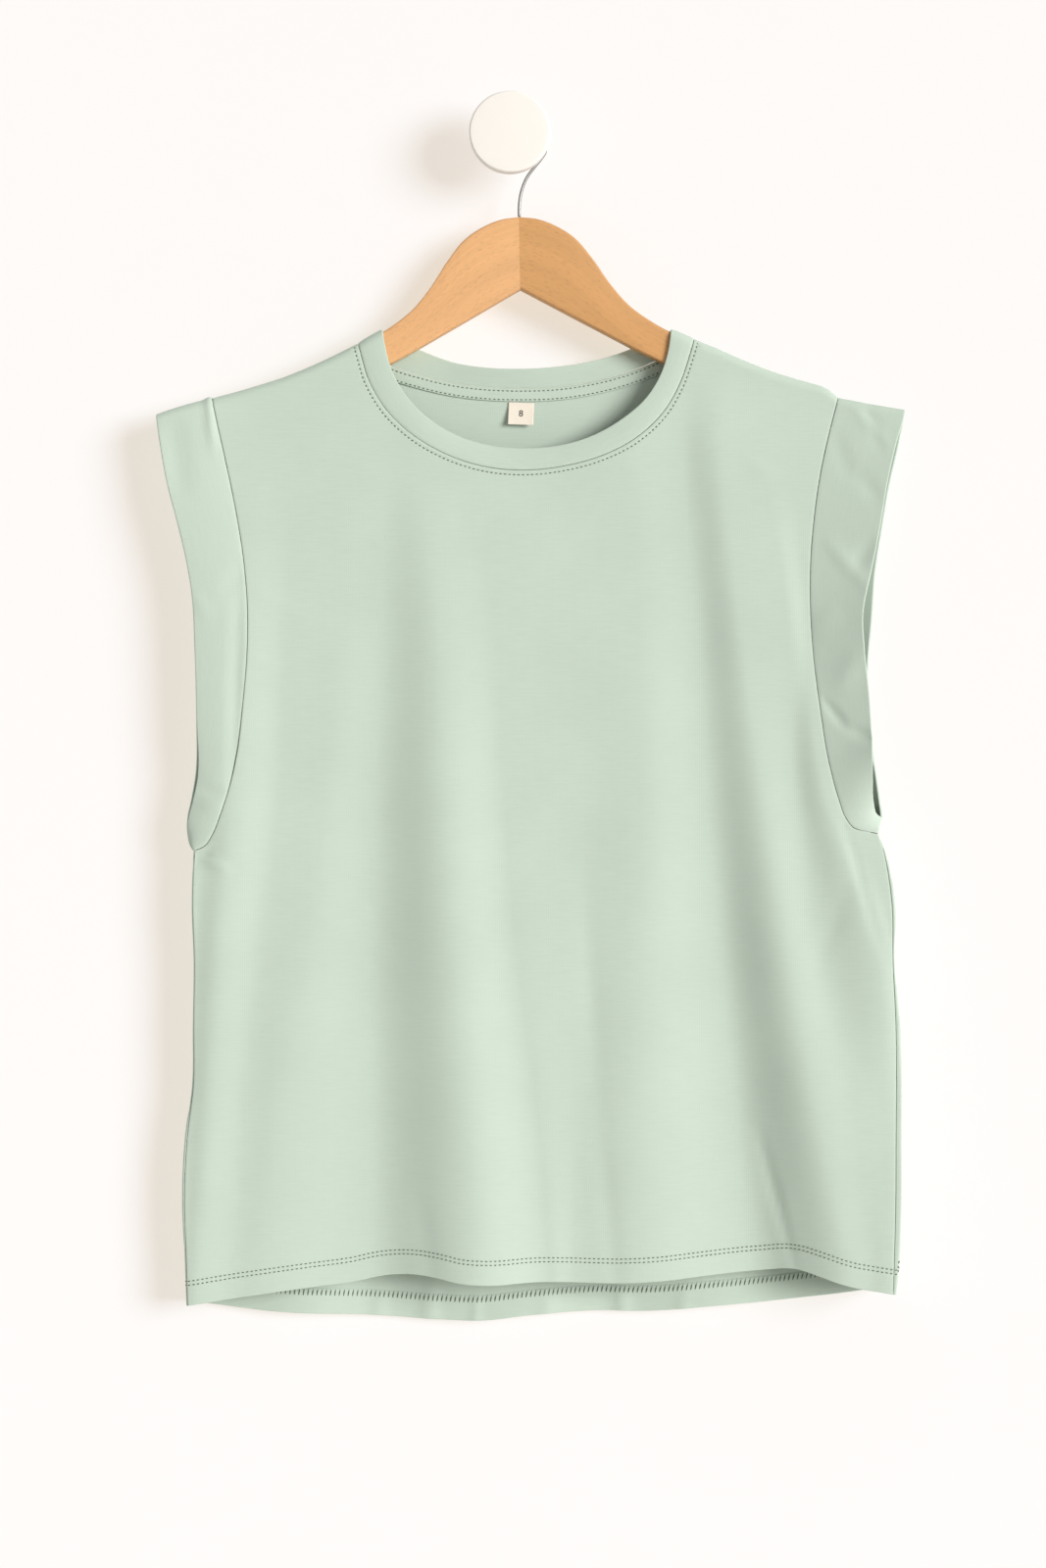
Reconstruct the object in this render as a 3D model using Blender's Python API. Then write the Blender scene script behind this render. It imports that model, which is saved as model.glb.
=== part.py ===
"""Sleeveless crew-neck tank top in cotton jersey, hung on a two-piece wooden hanger from a round wall knob.

The frame: +X to the right as seen from the front, +Y into the wall, +Z up. The origin is the centre of
the knob's back face, on the wall. Every size below is in millimetres and becomes metres in the meshes.

Each cloth panel is drawn flat as an outline in X and Z, then laid over the hanger: the shoulders roll
over its top edge, the sides roll round to the side seams, and the fold lines raise the cloth between
them. A piece sewn to a panel starts from that panel's own seam points, so that the seams match.
"""

import math

import bmesh
import bpy
import numpy as np

MM = 0.001

# Cloth
SEAM_GAP = 0.3
RING_SEAM_GAP = 0.22
CLOTH_WALL = 1.2
FOLDED_WALL = 1.8
TAPE_WALL = 0.9
LABEL_WALL = 0.6

# Hanger, knob and hook
HANGER_CENTRE = (6.4, -78.4)
HANGER_TILT = math.radians(1.2)
HANGER_Y = -22.0
HANGER_THICKNESS = 11.0
HANGER_EDGE_RADIUS = 4.5
HANGER_END_LENGTH = 7.0
HANGER_GAP = 0.6
KNOB_RADIUS = 27.0
KNOB_SHAFT_RADIUS = 9.0
KNOB_SHAFT_LENGTH = 30.0
KNOB_DEPTH = 42.0
KNOB_FRONT_EDGE = 6.0
KNOB_BACK_EDGE = 4.0
KNOB_SIDES = 36
HOOK_WIRE_RADIUS = 1.3
HOOK_ARC_CENTRE = (3.8, -8.4)
HOOK_ARC_RADIUS = 19.8
HOOK_ARC_START = -4.0
HOOK_ARC_END = 206.0
HOOK_ARC_STEP = 10.0
HOOK_STATIONS = 34

# Half of the hanger's outline from its centre to one end, in its own X and Z
HANGER_TOP = (
    (0, 24.5), (12, 23), (24, 18.4), (36, 10.6), (48, -3.6), (60, -21.4), (72, -35.6), (88, -47.6),
    (112, -60.3), (148, -76.3), (180, -87.7), (196, -92.6),
)
HANGER_BOTTOM = ((0, -23.5), (45, -48.5), (90, -72.8), (130, -91), (168, -104), (195, -111.4))
HANGER_STATIONS = 18

# Hook from the hanger's top to the start of its arc, in X and Z
HOOK_STEM = ((6.2, -53.5), (6.2, -45.5), (7.6, -36.5), (11, -27.5), (16.8, -19.4), (21.4, -13.6))

# How the cloth rolls over the hanger's top edge
ROLL_HEIGHT = 7.6
ROLL_FRONT = 7.6
ROLL_BACK = 9.4
ROLL_POWER = 2.5
SHOULDER_LIFT = (
    # x, how far the cloth stands above the line of the hanger's top edge there
    (-197.8, 2.7), (-183, 1.8), (-168, 1.2), (-150, 0.2), (-130, 0), (110, 0), (122, 1.2), (137, 1.7),
    (158, 0.7), (175, 0), (207, 0), (212, -1.1), (219, -5.2),
)
FOLDS_START_BELOW_SHOULDER = 10.0
FOLDS_FULL_BELOW_SHOULDER = 90.0

# Panel outlines in X and Z
SHOULDER_TIP_LEFT = -197.8
SHOULDER_TIP_RIGHT = 218.0
NECK_POINT_LEFT = -101.2
NECK_POINT_RIGHT = 122.6
NECK_SEAM_FRONT = (
    (-98.8, -146), (-94.4, -161), (-84.5, -179.3), (-67, -197.3), (-44.3, -211.1), (-18, -220),
    (8, -222.6), (37.6, -219.5), (60, -213.3), (82.4, -202), (101.9, -183.8), (113.6, -163), (119, -147),
)
NECK_EDGE_FRONT = (
    (-82.9, -139), (-78.7, -155.1), (-69.6, -172), (-54.7, -187.6), (-37.1, -198.4), (-14.4, -205.8),
    (7.7, -207.9), (30.5, -206.4), (52.6, -200.4), (74.7, -188.2), (90, -174.8), (100.2, -158.3), (104.8, -144),
)
NECK_SEAM_BACK = (
    (-95, -143), (-78.7, -151.5), (-59.7, -157.5), (-37.5, -162.6), (-14.6, -165.3), (7.1, -166),
    (30.6, -165.2), (60.1, -160.5), (87.6, -152.2), (107, -143.3), (117, -137.5),
)
NECK_EDGE_BACK = (
    (-79, -131), (-70, -136), (-58.4, -141.3), (-37.5, -149), (-14.5, -152.6), (7.1, -153.3),
    (30.6, -152), (52.9, -148.5), (74, -142.5), (92, -135), (102.5, -129.5),
)
NECK_EDGE_TOP_LEFT = -84.7
NECK_EDGE_TOP_RIGHT = 107.0
NECK_EDGE_LEAN_FRONT = 2.0
NECK_EDGE_LEAN_BACK = 3.0

# Armhole seam and the sleeve band's folded edge, from the shoulder to the underarm, in X and Z
ARMHOLE_LEFT = (
    (-195.1, -187), (-189.2, -213.6), (-182.7, -244.1), (-176.9, -278.6), (-174, -310), (-173.8, -338),
    (-176.9, -379), (-180.3, -408.6), (-184.9, -430), (-191.2, -449.6), (-197.2, -464.6), (-202, -471.8),
)
UNDERARM_LEFT = (-209.4, -475.2)
BAND_EDGE_LEFT = (
    (-234.1, -190), (-230.8, -211.6), (-226.6, -233.5), (-221.1, -254.5), (-214.6, -281.9), (-210.6, -306),
    (-208.8, -340), (-207.6, -385), (-207.4, -430), (-210.7, -444), (-213.2, -454), (-213.8, -461.5), (-213.4, -467),
)
BAND_BACK_EDGE_LEFT = (
    (-234.1, -190), (-229, -213), (-223.5, -236), (-218, -262), (-213.5, -288), (-210.6, -315),
    (-209.6, -345), (-209.2, -385), (-209.6, -425), (-212.6, -443), (-214.6, -453), (-214.6, -461.5), (-213.4, -467),
)
ARMHOLE_RIGHT = (
    (211.8, -197.3), (205.6, -225.3), (201.4, -254.5), (199, -285), (199, -318), (201.2, -350),
    (205, -380), (210.4, -415), (217, -440.5), (221.8, -453.4), (227, -459.8), (234.6, -462),
)
UNDERARM_RIGHT = (243.9, -463.6)
BAND_EDGE_RIGHT = (
    (261.2, -187), (255.8, -205), (249.3, -233), (244.3, -262), (238.2, -292), (233, -316.9),
    (233.9, -342.9), (236.5, -368), (238.4, -400), (239.1, -428), (240.2, -443), (242.6, -450.5), (246.6, -453),
)
BAND_BACK_EDGE_RIGHT = (
    (261.7, -187), (258.4, -205.5), (252.4, -232), (247.3, -262), (243, -290), (240.6, -322),
    (238, -350), (237.6, -380), (240, -408), (243.6, -430), (245.6, -443), (246.6, -449.5), (246.6, -453),
)

# Side of the body: height, silhouette and how far the side seam sits in from it, left and right
SIDES = (
    # z, left, seam in from left, right, seam in from right
    (-463.6, -209.8, 0.3, 244.2, 0.3),
    (-475.2, -210.2, 0.3, 248.6, 1.8),
    (-510, -211.4, 1.0, 255.2, 3.2),
    (-548, -210.2, 1.0, 254.8, 2.2),
    (-590, -210.8, 1.0, 258.4, 4.0),
    (-630, -211.2, 1.3, 259.4, 4.8),
    (-665, -216.0, 2.0, 259.2, 5.0),
    (-705, -217.9, 2.0, 259.0, 5.2),
    (-745, -216.3, 1.6, 257.2, 4.6),
    (-780, -214.9, 1.2, 254.0, 2.8),
)
SIDE_ROLL = 5.0
SIDE_DEPTH = -24.0
FLARE_ABOVE_UNDERARM = 1.0

# Hem, in X and Z; its ends are the side seams
HEM_LEFT_Z = -777.0
HEM_RIGHT_Z = -766.5
HEM_FRONT = (
    (-170, -770), (-130, -764.5), (-105, -761.4), (-81, -756.6), (-65, -755.6), (-49, -757.4), (-33, -760.6),
    (-12, -761.7), (15, -760.4), (77, -761), (101, -759.7), (125, -757.2), (165, -753.3), (190, -751.6),
    (203, -755.3), (219, -760.5),
)
HEM_BACK = (
    (-164, -783.2), (-91, -786.6), (-48, -789.4), (-18, -789.8), (15, -786), (55, -783.6), (94, -783.6),
    (136, -780), (176, -776.7), (225, -771.6),
)

# Fold lines of the hanging cloth: where each crest or trough runs and how far it stands off the
# hanger's plane, at six heights from the neck to the hem
FOLD_LEVELS = (-224, -327, -431, -534, -644, -754)
FRONT_FOLDS = (
    # name, x at each level, height at each level
    ("left edge", (-188, -198, -200, -210, -215, -217), (1, 3.2, 4.2, 2.4, 0.8, 0.6)),
    ("left swell", (-172, -178, -184, -192, -199, -207), (1, 4, 5.4, 5, 3, 1.5)),
    ("left dip", (-142, -148, -152, -163, -176, -184), (1, 1.8, 1.8, 1.8, 1.2, 0.6)),
    ("left rise", (-113, -116, -123, -136, -151, -163), (1, 1.8, 2, 2.5, 2.4, 1.4)),
    ("first trough", (-84, -85, -90, -93, -93, -92), (1, 0.9, 0.2, -0.6, -1, -1.7)),
    ("first crest", (-58, -47, -42, -36, -28, -21), (1.4, 5.2, 8.6, 11, 13, 14.5)),
    ("first shelf", (-25, -10, -4, 4, 18, 28), (1.2, 3, 4.6, 5.6, 5.8, 6.6)),
    ("middle trough", (24, 40, 46, 48, 46, 42), (1.2, 2.6, 3.9, 4.4, 4.6, 5.4)),
    ("middle crest", (78, 86, 88, 86, 84, 88), (1.6, 3, 5.2, 6.6, 7.2, 8)),
    ("second trough", (114, 124, 131, 139, 149, 160), (0.4, 0.8, 0.8, 0.8, 0.4, 0)),
    ("second crest", (140, 153, 166, 181, 203, 226), (3.6, 6, 8.2, 12.6, 17, 19.8)),
    ("right dip", (168, 185, 188, 204, 228, 237), (3.2, 5.6, 6.8, 10, 15.8, 19.8)),
    ("right rise", (188, 198, 207, 241, 248, 248), (3, 4.2, 10.4, 14.4, 15.8, 20.6)),
    ("right edge", (204, 209, 217, 254, 258, 258), (3, 4.2, 10.4, 12.6, 15.4, 20.6)),
)
BACK_FOLDS = (
    ("left swell", (-170, -175, -182, -188, -192, -196), (1, 2, 4, 6, 7, 7)),
    ("left dip", (-120, -124, -130, -134, -138, -140), (1, 1, 1.5, 2, 2, 2)),
    ("first crest", (-66, -66, -68, -72, -76, -80), (1, 3, 5, 6.5, 7.5, 8)),
    ("middle trough", (-8, -6, -2, 2, 4, 6), (1, 1.4, 2, 2, 2, 2)),
    ("middle crest", (60, 62, 64, 66, 66, 64), (1, 2.5, 4.5, 6, 7, 7.4)),
    ("second trough", (118, 122, 128, 130, 132, 134), (1, 1, 1.4, 2, 2.4, 2)),
    ("right swell", (176, 182, 192, 200, 206, 208), (1, 2.4, 4.6, 6.4, 7.4, 7.6)),
)

# Where the grid lines of the panels fall: distances in millimetres along the seams
ROWS_ARMHOLE = (0, 0.45, 1.84, 4.13, 7.6, 18, 45, 85, 125, 165, 205, 245, 278, 296, 303, 307, 310)
ROWS_SIDE = (6, 24, 54, 88, 122, 156, 189, 222, 252, 280, 303)
COLUMNS_NECK = (0, 0.5, 2, 4.5, 8, 16, 29, 46, 66, 88, 112, 138, 165)
COLUMNS_SHOULDER_LEFT = (0, 0.015, 0.04, 0.08, 0.14, 0.25, 0.42, 0.62, 0.82)
COLUMNS_SHOULDER_RIGHT = (0.09, 0.18, 0.27, 0.36, 0.44, 0.52, 0.6, 0.68, 0.76, 0.83, 0.89, 0.935, 0.965, 0.987, 1)
UNDERARM_DIP = 8.0
UNDERARM_DIP_WIDTH = 10.0
UNDERARM_DIP_REACH = 90.0
NECK_SPREAD = 9.0
NECK_SPREAD_DEPTH = 11.0
NECK_SPREAD_REACH = 85.0
HEM_SHARE_LEFT = 0.235
HEM_SHARE_NECK = 0.53

# Sleeve band, tape and label
BAND_CELLS = 4
BAND_TOP_DROP_LEFT = (-234.6, -186.0)
BAND_TOP_DROP_RIGHT = (262.0, -182.8)
BAND_TOP_HALF_GAP = 3.2
BAND_TOP_ROLL = 4.0
BAND_MID_HALF_GAP = 9.0
BAND_UNDERARM_ROLL = 12.0
# Share along the folded edge, how far that edge stands forward of the hanger's plane
BAND_FORWARD_LEFT = ((0, 6), (0.12, 6), (0.35, 3), (0.6, 3), (0.85, 4), (1, 4))
BAND_FORWARD_RIGHT = (
    (0, 6), (0.2, 8.8), (0.4, 10.5), (0.58, 13), (0.7, 14), (0.76, 15.5), (0.84, 19.5), (0.93, 15.5), (1, 9),
)
NECKBAND_CELLS = 3
TAPE_TOP = 0.8
TAPE_WIDTH = 8.4
TAPE_ENDS = (0.085, 0.925)
TAPE_STATIONS = 16
LABEL_CENTRE_X = 7.6
LABEL_WIDTH = 17.0
LABEL_HEIGHT = 15.2
LABEL_TURN = math.radians(-2.0)

COLOURS = {
    # name: (sRGB hex, roughness, metallic)
    "sage jersey": ("CDDBCB", 0.9, 0.0),
    "woven label": ("ECE6D5", 0.8, 0.0),
    "beech": ("E8B47E", 0.45, 0.0),
    "hook wire": ("C9CBCC", 0.3, 1.0),
    "white knob": ("FAF5F0", 0.5, 0.0),
}


def remove_scene_objects():
    for obj in list(bpy.data.objects):
        bpy.data.objects.remove(obj, do_unlink=True)


def material(name):
    """Principled material with the colour, roughness and metallic value from the table."""
    made = bpy.data.materials.get(name)
    if made:
        return made
    colour, roughness, metallic = COLOURS[name]
    parts = [int(colour[i:i + 2], 16) / 255 for i in (0, 2, 4)]
    linear = [c / 12.92 if c <= 0.04045 else ((c + 0.055) / 1.055) ** 2.4 for c in parts]
    made = bpy.data.materials.new(name)
    made.use_nodes = True
    shader = made.node_tree.nodes["Principled BSDF"]
    shader.inputs["Base Color"].default_value = (*linear, 1)
    shader.inputs["Roughness"].default_value = roughness
    shader.inputs["Metallic"].default_value = metallic
    return made


def add_mesh(name, points, faces, material_name):
    """One closed body from points in millimetres, with its faces turned outward."""
    mesh = bpy.data.meshes.new(name)
    mesh.from_pydata((np.asarray(points) * MM).tolist(), [], faces)
    body = bmesh.new()
    body.from_mesh(mesh)
    bmesh.ops.recalc_face_normals(body, faces=body.faces)
    body.to_mesh(mesh)
    body.free()
    mesh.shade_smooth()
    mesh.set_sharp_from_angle(angle=math.radians(40))
    mesh.materials.append(material(material_name))
    obj = bpy.data.objects.new(name, mesh)
    bpy.context.scene.collection.objects.link(obj)
    return obj


# Curves and easing

def ease(levels, values, at):
    """Smooth cubic through a value for each level, level beyond both ends; levels may fall or rise."""
    levels = np.asarray(levels, float)
    values = np.asarray(values, float)
    order = np.argsort(levels)
    levels = levels[order]
    values = values[order]
    slope = np.gradient(values, levels)
    at = np.clip(at, levels[0], levels[-1])
    i = np.clip(np.searchsorted(levels, at, side="right") - 1, 0, len(levels) - 2)
    span = levels[i + 1] - levels[i]
    f = (at - levels[i]) / span
    start = (2 * f ** 3 - 3 * f ** 2 + 1) * values[i] + (f ** 3 - 2 * f ** 2 + f) * span * slope[i]
    end = (3 * f ** 2 - 2 * f ** 3) * values[i + 1] + (f ** 3 - f ** 2) * span * slope[i + 1]
    return start + end


def smooth_curve(points, samples=600):
    """Dense smooth curve through the points, even in length."""
    points = np.asarray(points, float)
    run = np.concatenate([[0], np.cumsum(np.linalg.norm(np.diff(points, axis=0), axis=1))])
    at = np.linspace(0, run[-1], samples)
    return np.stack([ease(run, points[:, i], at) for i in range(points.shape[1])], axis=1)


def length_of(curve):
    return float(np.linalg.norm(np.diff(curve, axis=0), axis=1).sum())


def at_fraction(curve, fractions):
    """Points of a dense curve at fractions of its length."""
    run = np.concatenate([[0], np.cumsum(np.linalg.norm(np.diff(curve, axis=0), axis=1))])
    at = np.asarray(fractions) * run[-1]
    return np.stack([np.interp(at, run, curve[:, i]) for i in range(curve.shape[1])], axis=1)


def smooth_step(f):
    f = np.clip(f, 0, 1)
    return f * f * (3 - 2 * f)


def round_over(f, power=2.0):
    """Rises from 0 with an upright start to 1 at f = 1, as a quarter of a rounded corner does."""
    f = np.clip(f, 0, 1)
    return (1 - (1 - f) ** power) ** (1 / power)


def unit(vectors):
    return vectors / np.linalg.norm(vectors, axis=-1, keepdims=True)


# The hanging surfaces

def turned_with_hanger(points):
    """From the hanger's own X and Z to the hung frame."""
    points = np.asarray(points, float)
    cos, sin = math.cos(HANGER_TILT), math.sin(HANGER_TILT)
    x = HANGER_CENTRE[0] + points[:, 0] * cos - points[:, 1] * sin
    z = HANGER_CENTRE[1] + points[:, 0] * sin + points[:, 1] * cos
    return np.stack([x, z], axis=1)


def hanger_top_line():
    """The hanger's whole top edge, carried straight on past both ends."""
    half = smooth_curve(HANGER_TOP)
    step = half[-1] - half[-30]
    half = np.concatenate([half, [half[-1] + step * 6]])
    mirrored = half[::-1] * (-1, 1)
    return turned_with_hanger(np.concatenate([mirrored[:-1], half]))


TOP_LINE = hanger_top_line()


def shoulder_line(x):
    """Height of the cloth's outside where it crosses the hanger's top edge."""
    lift = np.interp(x, *np.transpose(SHOULDER_LIFT))
    return np.interp(x, TOP_LINE[:, 0], TOP_LINE[:, 1]) + lift + HANGER_GAP + CLOTH_WALL


def fold_height(folds, x, z):
    """Level along each fold line, easing by half a cosine wave between neighbouring lines."""
    lines = [ease(FOLD_LEVELS, fold[1], z) for fold in folds]
    heights = [ease(FOLD_LEVELS, fold[2], z) for fold in folds]
    height = np.where(x <= lines[0], heights[0], heights[-1])
    for i in range(len(folds) - 1):
        f = (x - lines[i]) / (lines[i + 1] - lines[i])
        wave = 0.5 - 0.5 * np.cos(np.pi * np.clip(f, 0, 1))
        here = (f > 0) & (f <= 1)
        height = np.where(here, heights[i] + (heights[i + 1] - heights[i]) * wave, height)
    return height


def side_lines(z):
    """Silhouette of the body at the left and right, opening outward above the underarms."""
    table = np.array(SIDES)
    left = ease(table[:, 0], table[:, 1], z) - FLARE_ABOVE_UNDERARM * np.maximum(z - UNDERARM_LEFT[1], 0)
    right = ease(table[:, 0], table[:, 3], z) + FLARE_ABOVE_UNDERARM * np.maximum(z - UNDERARM_RIGHT[1], 0)
    return left, right


def panel_surface(x, z, front):
    """Points of a panel's outside from its flat X and Z.

    The back panel's flat outline runs past the silhouette, and what runs past it turns forward round
    the side to meet the front panel at the side seam.
    """
    facing = -1.0 if front else 1.0
    drop = shoulder_line(x) - z
    roll = (ROLL_FRONT if front else ROLL_BACK) * round_over(drop / ROLL_HEIGHT, ROLL_POWER)
    spread = FOLDS_FULL_BELOW_SHOULDER - FOLDS_START_BELOW_SHOULDER
    shown = smooth_step((drop - FOLDS_START_BELOW_SHOULDER) / spread)
    folds = FRONT_FOLDS if front else BACK_FOLDS
    own = HANGER_Y + facing * (SEAM_GAP / 2 + roll + shown * fold_height(folds, x, z))
    left, right = side_lines(z)
    inside = np.minimum(x - left, right - x)
    turned = np.abs(inside)
    other = HANGER_Y - facing * (ROLL_FRONT + fold_height(FRONT_FOLDS, x, z))
    flat = np.where(inside >= 0, own, other)
    depth = SIDE_DEPTH + (flat - SIDE_DEPTH) * round_over(turned / SIDE_ROLL)
    folded_x = np.where(inside >= 0, x, np.where(x < left, 2 * left - x, 2 * right - x))
    return np.stack([folded_x, depth, z], axis=-1)


def panel_normals(x, z, front):
    """Outward unit normals of a panel from small steps across its surface."""
    step = 0.01
    across = panel_surface(x + step, z, front) - panel_surface(x - step, z, front)
    down = panel_surface(x, z - step, front) - panel_surface(x, z + step, front)
    normal = np.cross(down, across)
    return unit(normal if front else -normal)


# Panel outlines

def armhole_curve(left, front):
    """Armhole seam from the shoulder to the underarm, ending on the side seam."""
    tip = SHOULDER_TIP_LEFT if left else SHOULDER_TIP_RIGHT
    rows = ARMHOLE_LEFT if left else ARMHOLE_RIGHT
    top = (tip, float(shoulder_line(tip)))
    end_z = UNDERARM_LEFT[1] if left else UNDERARM_RIGHT[1]
    return smooth_curve([top, *rows, side_seam_point(end_z, left, front)])


def side_seam_point(z, left, front):
    """Flat X and Z of the side seam: in from the silhouette for the front, past it for the back."""
    table = np.array(SIDES)
    line = float(ease(table[:, 0], table[:, 1 if left else 3], z))
    inset = float(ease(table[:, 0], table[:, 2 if left else 4], z))
    outward = -1.0 if left else 1.0
    return (line - outward * inset if front else line + outward * inset, float(z))


def side_rows(left, front):
    """Armhole and side seam as one list of points, a row of the panel's grid for each."""
    armhole = armhole_curve(left, front)
    upper = at_fraction(armhole, np.array(ROWS_ARMHOLE) / ROWS_ARMHOLE[-1])
    start = UNDERARM_LEFT[1] if left else UNDERARM_RIGHT[1]
    end = HEM_LEFT_Z if left else HEM_RIGHT_Z
    heights = start + (end - start) * np.array(ROWS_SIDE) / ROWS_SIDE[-1]
    lower = np.array([side_seam_point(z, left, front) for z in heights])
    return np.concatenate([upper, lower])


def neck_fractions():
    """Stations along the neck seam, close together where it rolls over the hanger."""
    half = np.array(COLUMNS_NECK) / (2 * COLUMNS_NECK[-1])
    return np.concatenate([half, 1 - half[-2::-1]])


def neck_curve(rows):
    """A neckline from the left shoulder seam to the right one."""
    left = (NECK_POINT_LEFT, float(shoulder_line(NECK_POINT_LEFT)))
    right = (NECK_POINT_RIGHT, float(shoulder_line(NECK_POINT_RIGHT)))
    return smooth_curve([left, *rows, right])


def top_columns(front):
    """Left shoulder, neckline and right shoulder, a column of the panel's grid for each point."""
    left_x = SHOULDER_TIP_LEFT + (NECK_POINT_LEFT - SHOULDER_TIP_LEFT) * np.array(COLUMNS_SHOULDER_LEFT)
    right_x = NECK_POINT_RIGHT + (SHOULDER_TIP_RIGHT - NECK_POINT_RIGHT) * np.array(COLUMNS_SHOULDER_RIGHT)
    neck = at_fraction(neck_curve(NECK_SEAM_FRONT if front else NECK_SEAM_BACK), neck_fractions())
    left = np.stack([left_x, shoulder_line(left_x)], axis=1)
    right = np.stack([right_x, shoulder_line(right_x)], axis=1)
    return np.concatenate([left, neck, right])


def hem_fractions():
    left = np.array(COLUMNS_SHOULDER_LEFT) * HEM_SHARE_LEFT
    neck = HEM_SHARE_LEFT + HEM_SHARE_NECK * np.linspace(0, 1, len(neck_fractions()))
    share = 1 - HEM_SHARE_LEFT - HEM_SHARE_NECK
    right = 1 - share + share * np.array(COLUMNS_SHOULDER_RIGHT)
    return np.concatenate([left, neck, right])


def flat_grid(front):
    """The panel's flat X and Z: each row spans the two sides, and takes the shape of the neck and shoulders
    at the top, of the hem at the bottom, and of neither at the underarm. There both ends turn up to meet
    the level end of the armhole, and near the neck points the columns lean away from the steep neckline."""
    left = side_rows(True, front)
    right = side_rows(False, front)
    top = top_columns(front)
    hem = smooth_curve([left[-1], *(HEM_FRONT if front else HEM_BACK), right[-1]])
    u = hem_fractions()
    bottom = at_fraction(hem, u)
    run = np.concatenate([[0], np.cumsum(np.linalg.norm(np.diff(left, axis=0), axis=1))])
    underarm = run[len(ROWS_ARMHOLE) - 1]
    from_top = np.clip(1 - run / underarm, 0, 1)[:, None, None]
    from_hem = np.clip((run - underarm) / (run[-1] - underarm), 0, 1)[:, None, None]
    u = u[None, :, None]
    sides = (1 - u) * left[:, None] + u * right[:, None]
    top_shape = top - ((1 - u[0]) * top[0] + u[0] * top[-1])
    hem_shape = bottom - ((1 - u[0]) * bottom[0] + u[0] * bottom[-1])
    grid = sides + from_top * top_shape + from_hem * hem_shape
    dip = UNDERARM_DIP * smooth_step(1 - np.abs(run - underarm) / UNDERARM_DIP_REACH)[:, None]
    for side in (0, -1):
        dip = dip * (1 - np.exp(-np.abs(grid[..., 0] - grid[:, side, 0][:, None]) / UNDERARM_DIP_WIDTH))
    grid[..., 1] -= dip
    along = np.concatenate([[0], np.cumsum(np.linalg.norm(np.diff(top, axis=0), axis=1))])
    first = len(COLUMNS_SHOULDER_LEFT)
    last = first + len(neck_fractions()) - 1
    lean = NECK_SPREAD * (1 - np.exp(-run / NECK_SPREAD_DEPTH)) * from_top[:, 0, 0]
    for column, outward in ((first, -1), (last, 1)):
        near_neck = smooth_step(1 - np.abs(along - along[column]) / NECK_SPREAD_REACH)
        grid[..., 0] += outward * lean[:, None] * near_neck[None]
    return grid


# Cloth walls

def square_to_seam(points, normals, toward):
    """Unit directions in the cloth, square to a seam and pointing toward a neighbouring line."""
    side = unit(np.cross(normals, np.gradient(points, axis=0)))
    facing = np.sign(np.sum(side * (toward - points), axis=1, keepdims=True))
    return side * facing


def wall_faces(rows, columns, wraps):
    """Faces of a closed wall between two matching grids, outer first; wraps joins the columns' ends."""
    index = np.arange(rows * columns).reshape(rows, columns)
    if wraps:
        index = np.concatenate([index, index[:, :1]], axis=1)
    quad = np.stack([index[:-1, :-1], index[:-1, 1:], index[1:, 1:], index[1:, :-1]], axis=-1).reshape(-1, 4)
    inner = quad[:, ::-1] + rows * columns
    edges = [index[0], index[-1][::-1]]
    if not wraps:
        edges += [index[::-1, 0], index[:, -1]]
    rims = []
    for edge in edges:
        rims.append(np.stack([edge[1:], edge[:-1], edge[:-1] + rows * columns, edge[1:] + rows * columns], axis=-1))
    return np.concatenate([quad, inner, *rims]).tolist()


def add_wall(name, outer, inner, material_name, wraps=False):
    points = np.concatenate([outer.reshape(-1, 3), inner.reshape(-1, 3)])
    return add_mesh(name, points, wall_faces(outer.shape[0], outer.shape[1], wraps), material_name)


def panel(name, front):
    """A front or back panel; returns its seam points, normals and inward directions by edge."""
    flat = flat_grid(front)
    x, z = flat[..., 0], flat[..., 1]
    outer = panel_surface(x, z, front)
    normals = panel_normals(x, z, front)
    edges = {
        "top": (np.s_[0, :], np.s_[1, :]),
        "hem": (np.s_[-1, :], np.s_[-2, :]),
        "left": (np.s_[:, 0], np.s_[:, 1]),
        "right": (np.s_[:, -1], np.s_[:, -2]),
    }
    seams = {}
    for edge, (here, beside) in edges.items():
        inward = square_to_seam(outer[here], normals[here], outer[beside])
        seams[edge] = {"points": outer[here].copy(), "normals": normals[here].copy(), "inward": inward}
    for edge, (here, _) in edges.items():
        outer[here] += seams[edge]["inward"] * SEAM_GAP / 2
    add_wall(name, outer, outer - normals * CLOTH_WALL, "sage jersey")
    return seams


def part_of_seam(seam, first, last):
    return {key: value[first:last + 1] for key, value in seam.items()}


def joined_ring(front, back):
    """One closed run of seam points from a front and a back seam that share their two ends."""
    ring = {}
    for key in front:
        ends = [(front[key][i] + back[key][i]) / 2 for i in (0, -1)]
        ring[key] = np.concatenate([[ends[0]], front[key][1:-1], [ends[1]], back[key][-2:0:-1]])
    ring["normals"] = unit(ring["normals"])
    ring["inward"] = unit(ring["inward"])
    return ring


def sewn_ring(name, seam, edge, cells, wall):
    """A folded strip sewn to a closed seam: from the seam points to its own folded edge."""
    start = seam["points"] - seam["inward"] * RING_SEAM_GAP
    s = np.linspace(0, 1, cells + 1)[:, None, None]
    outer = start[None] * (1 - s) + edge[None] * s
    along = np.roll(outer, -1, axis=1) - np.roll(outer, 1, axis=1)
    normals = unit(np.cross(along, np.gradient(outer, axis=0)))
    facing = np.sign(np.sum(normals[0] * seam["normals"]))
    normals = normals * facing
    normals[0] = seam["normals"]
    proud = outer + normals * (wall - CLOTH_WALL)
    add_wall(name, proud, outer - normals * CLOTH_WALL, "sage jersey", wraps=True)


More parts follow.
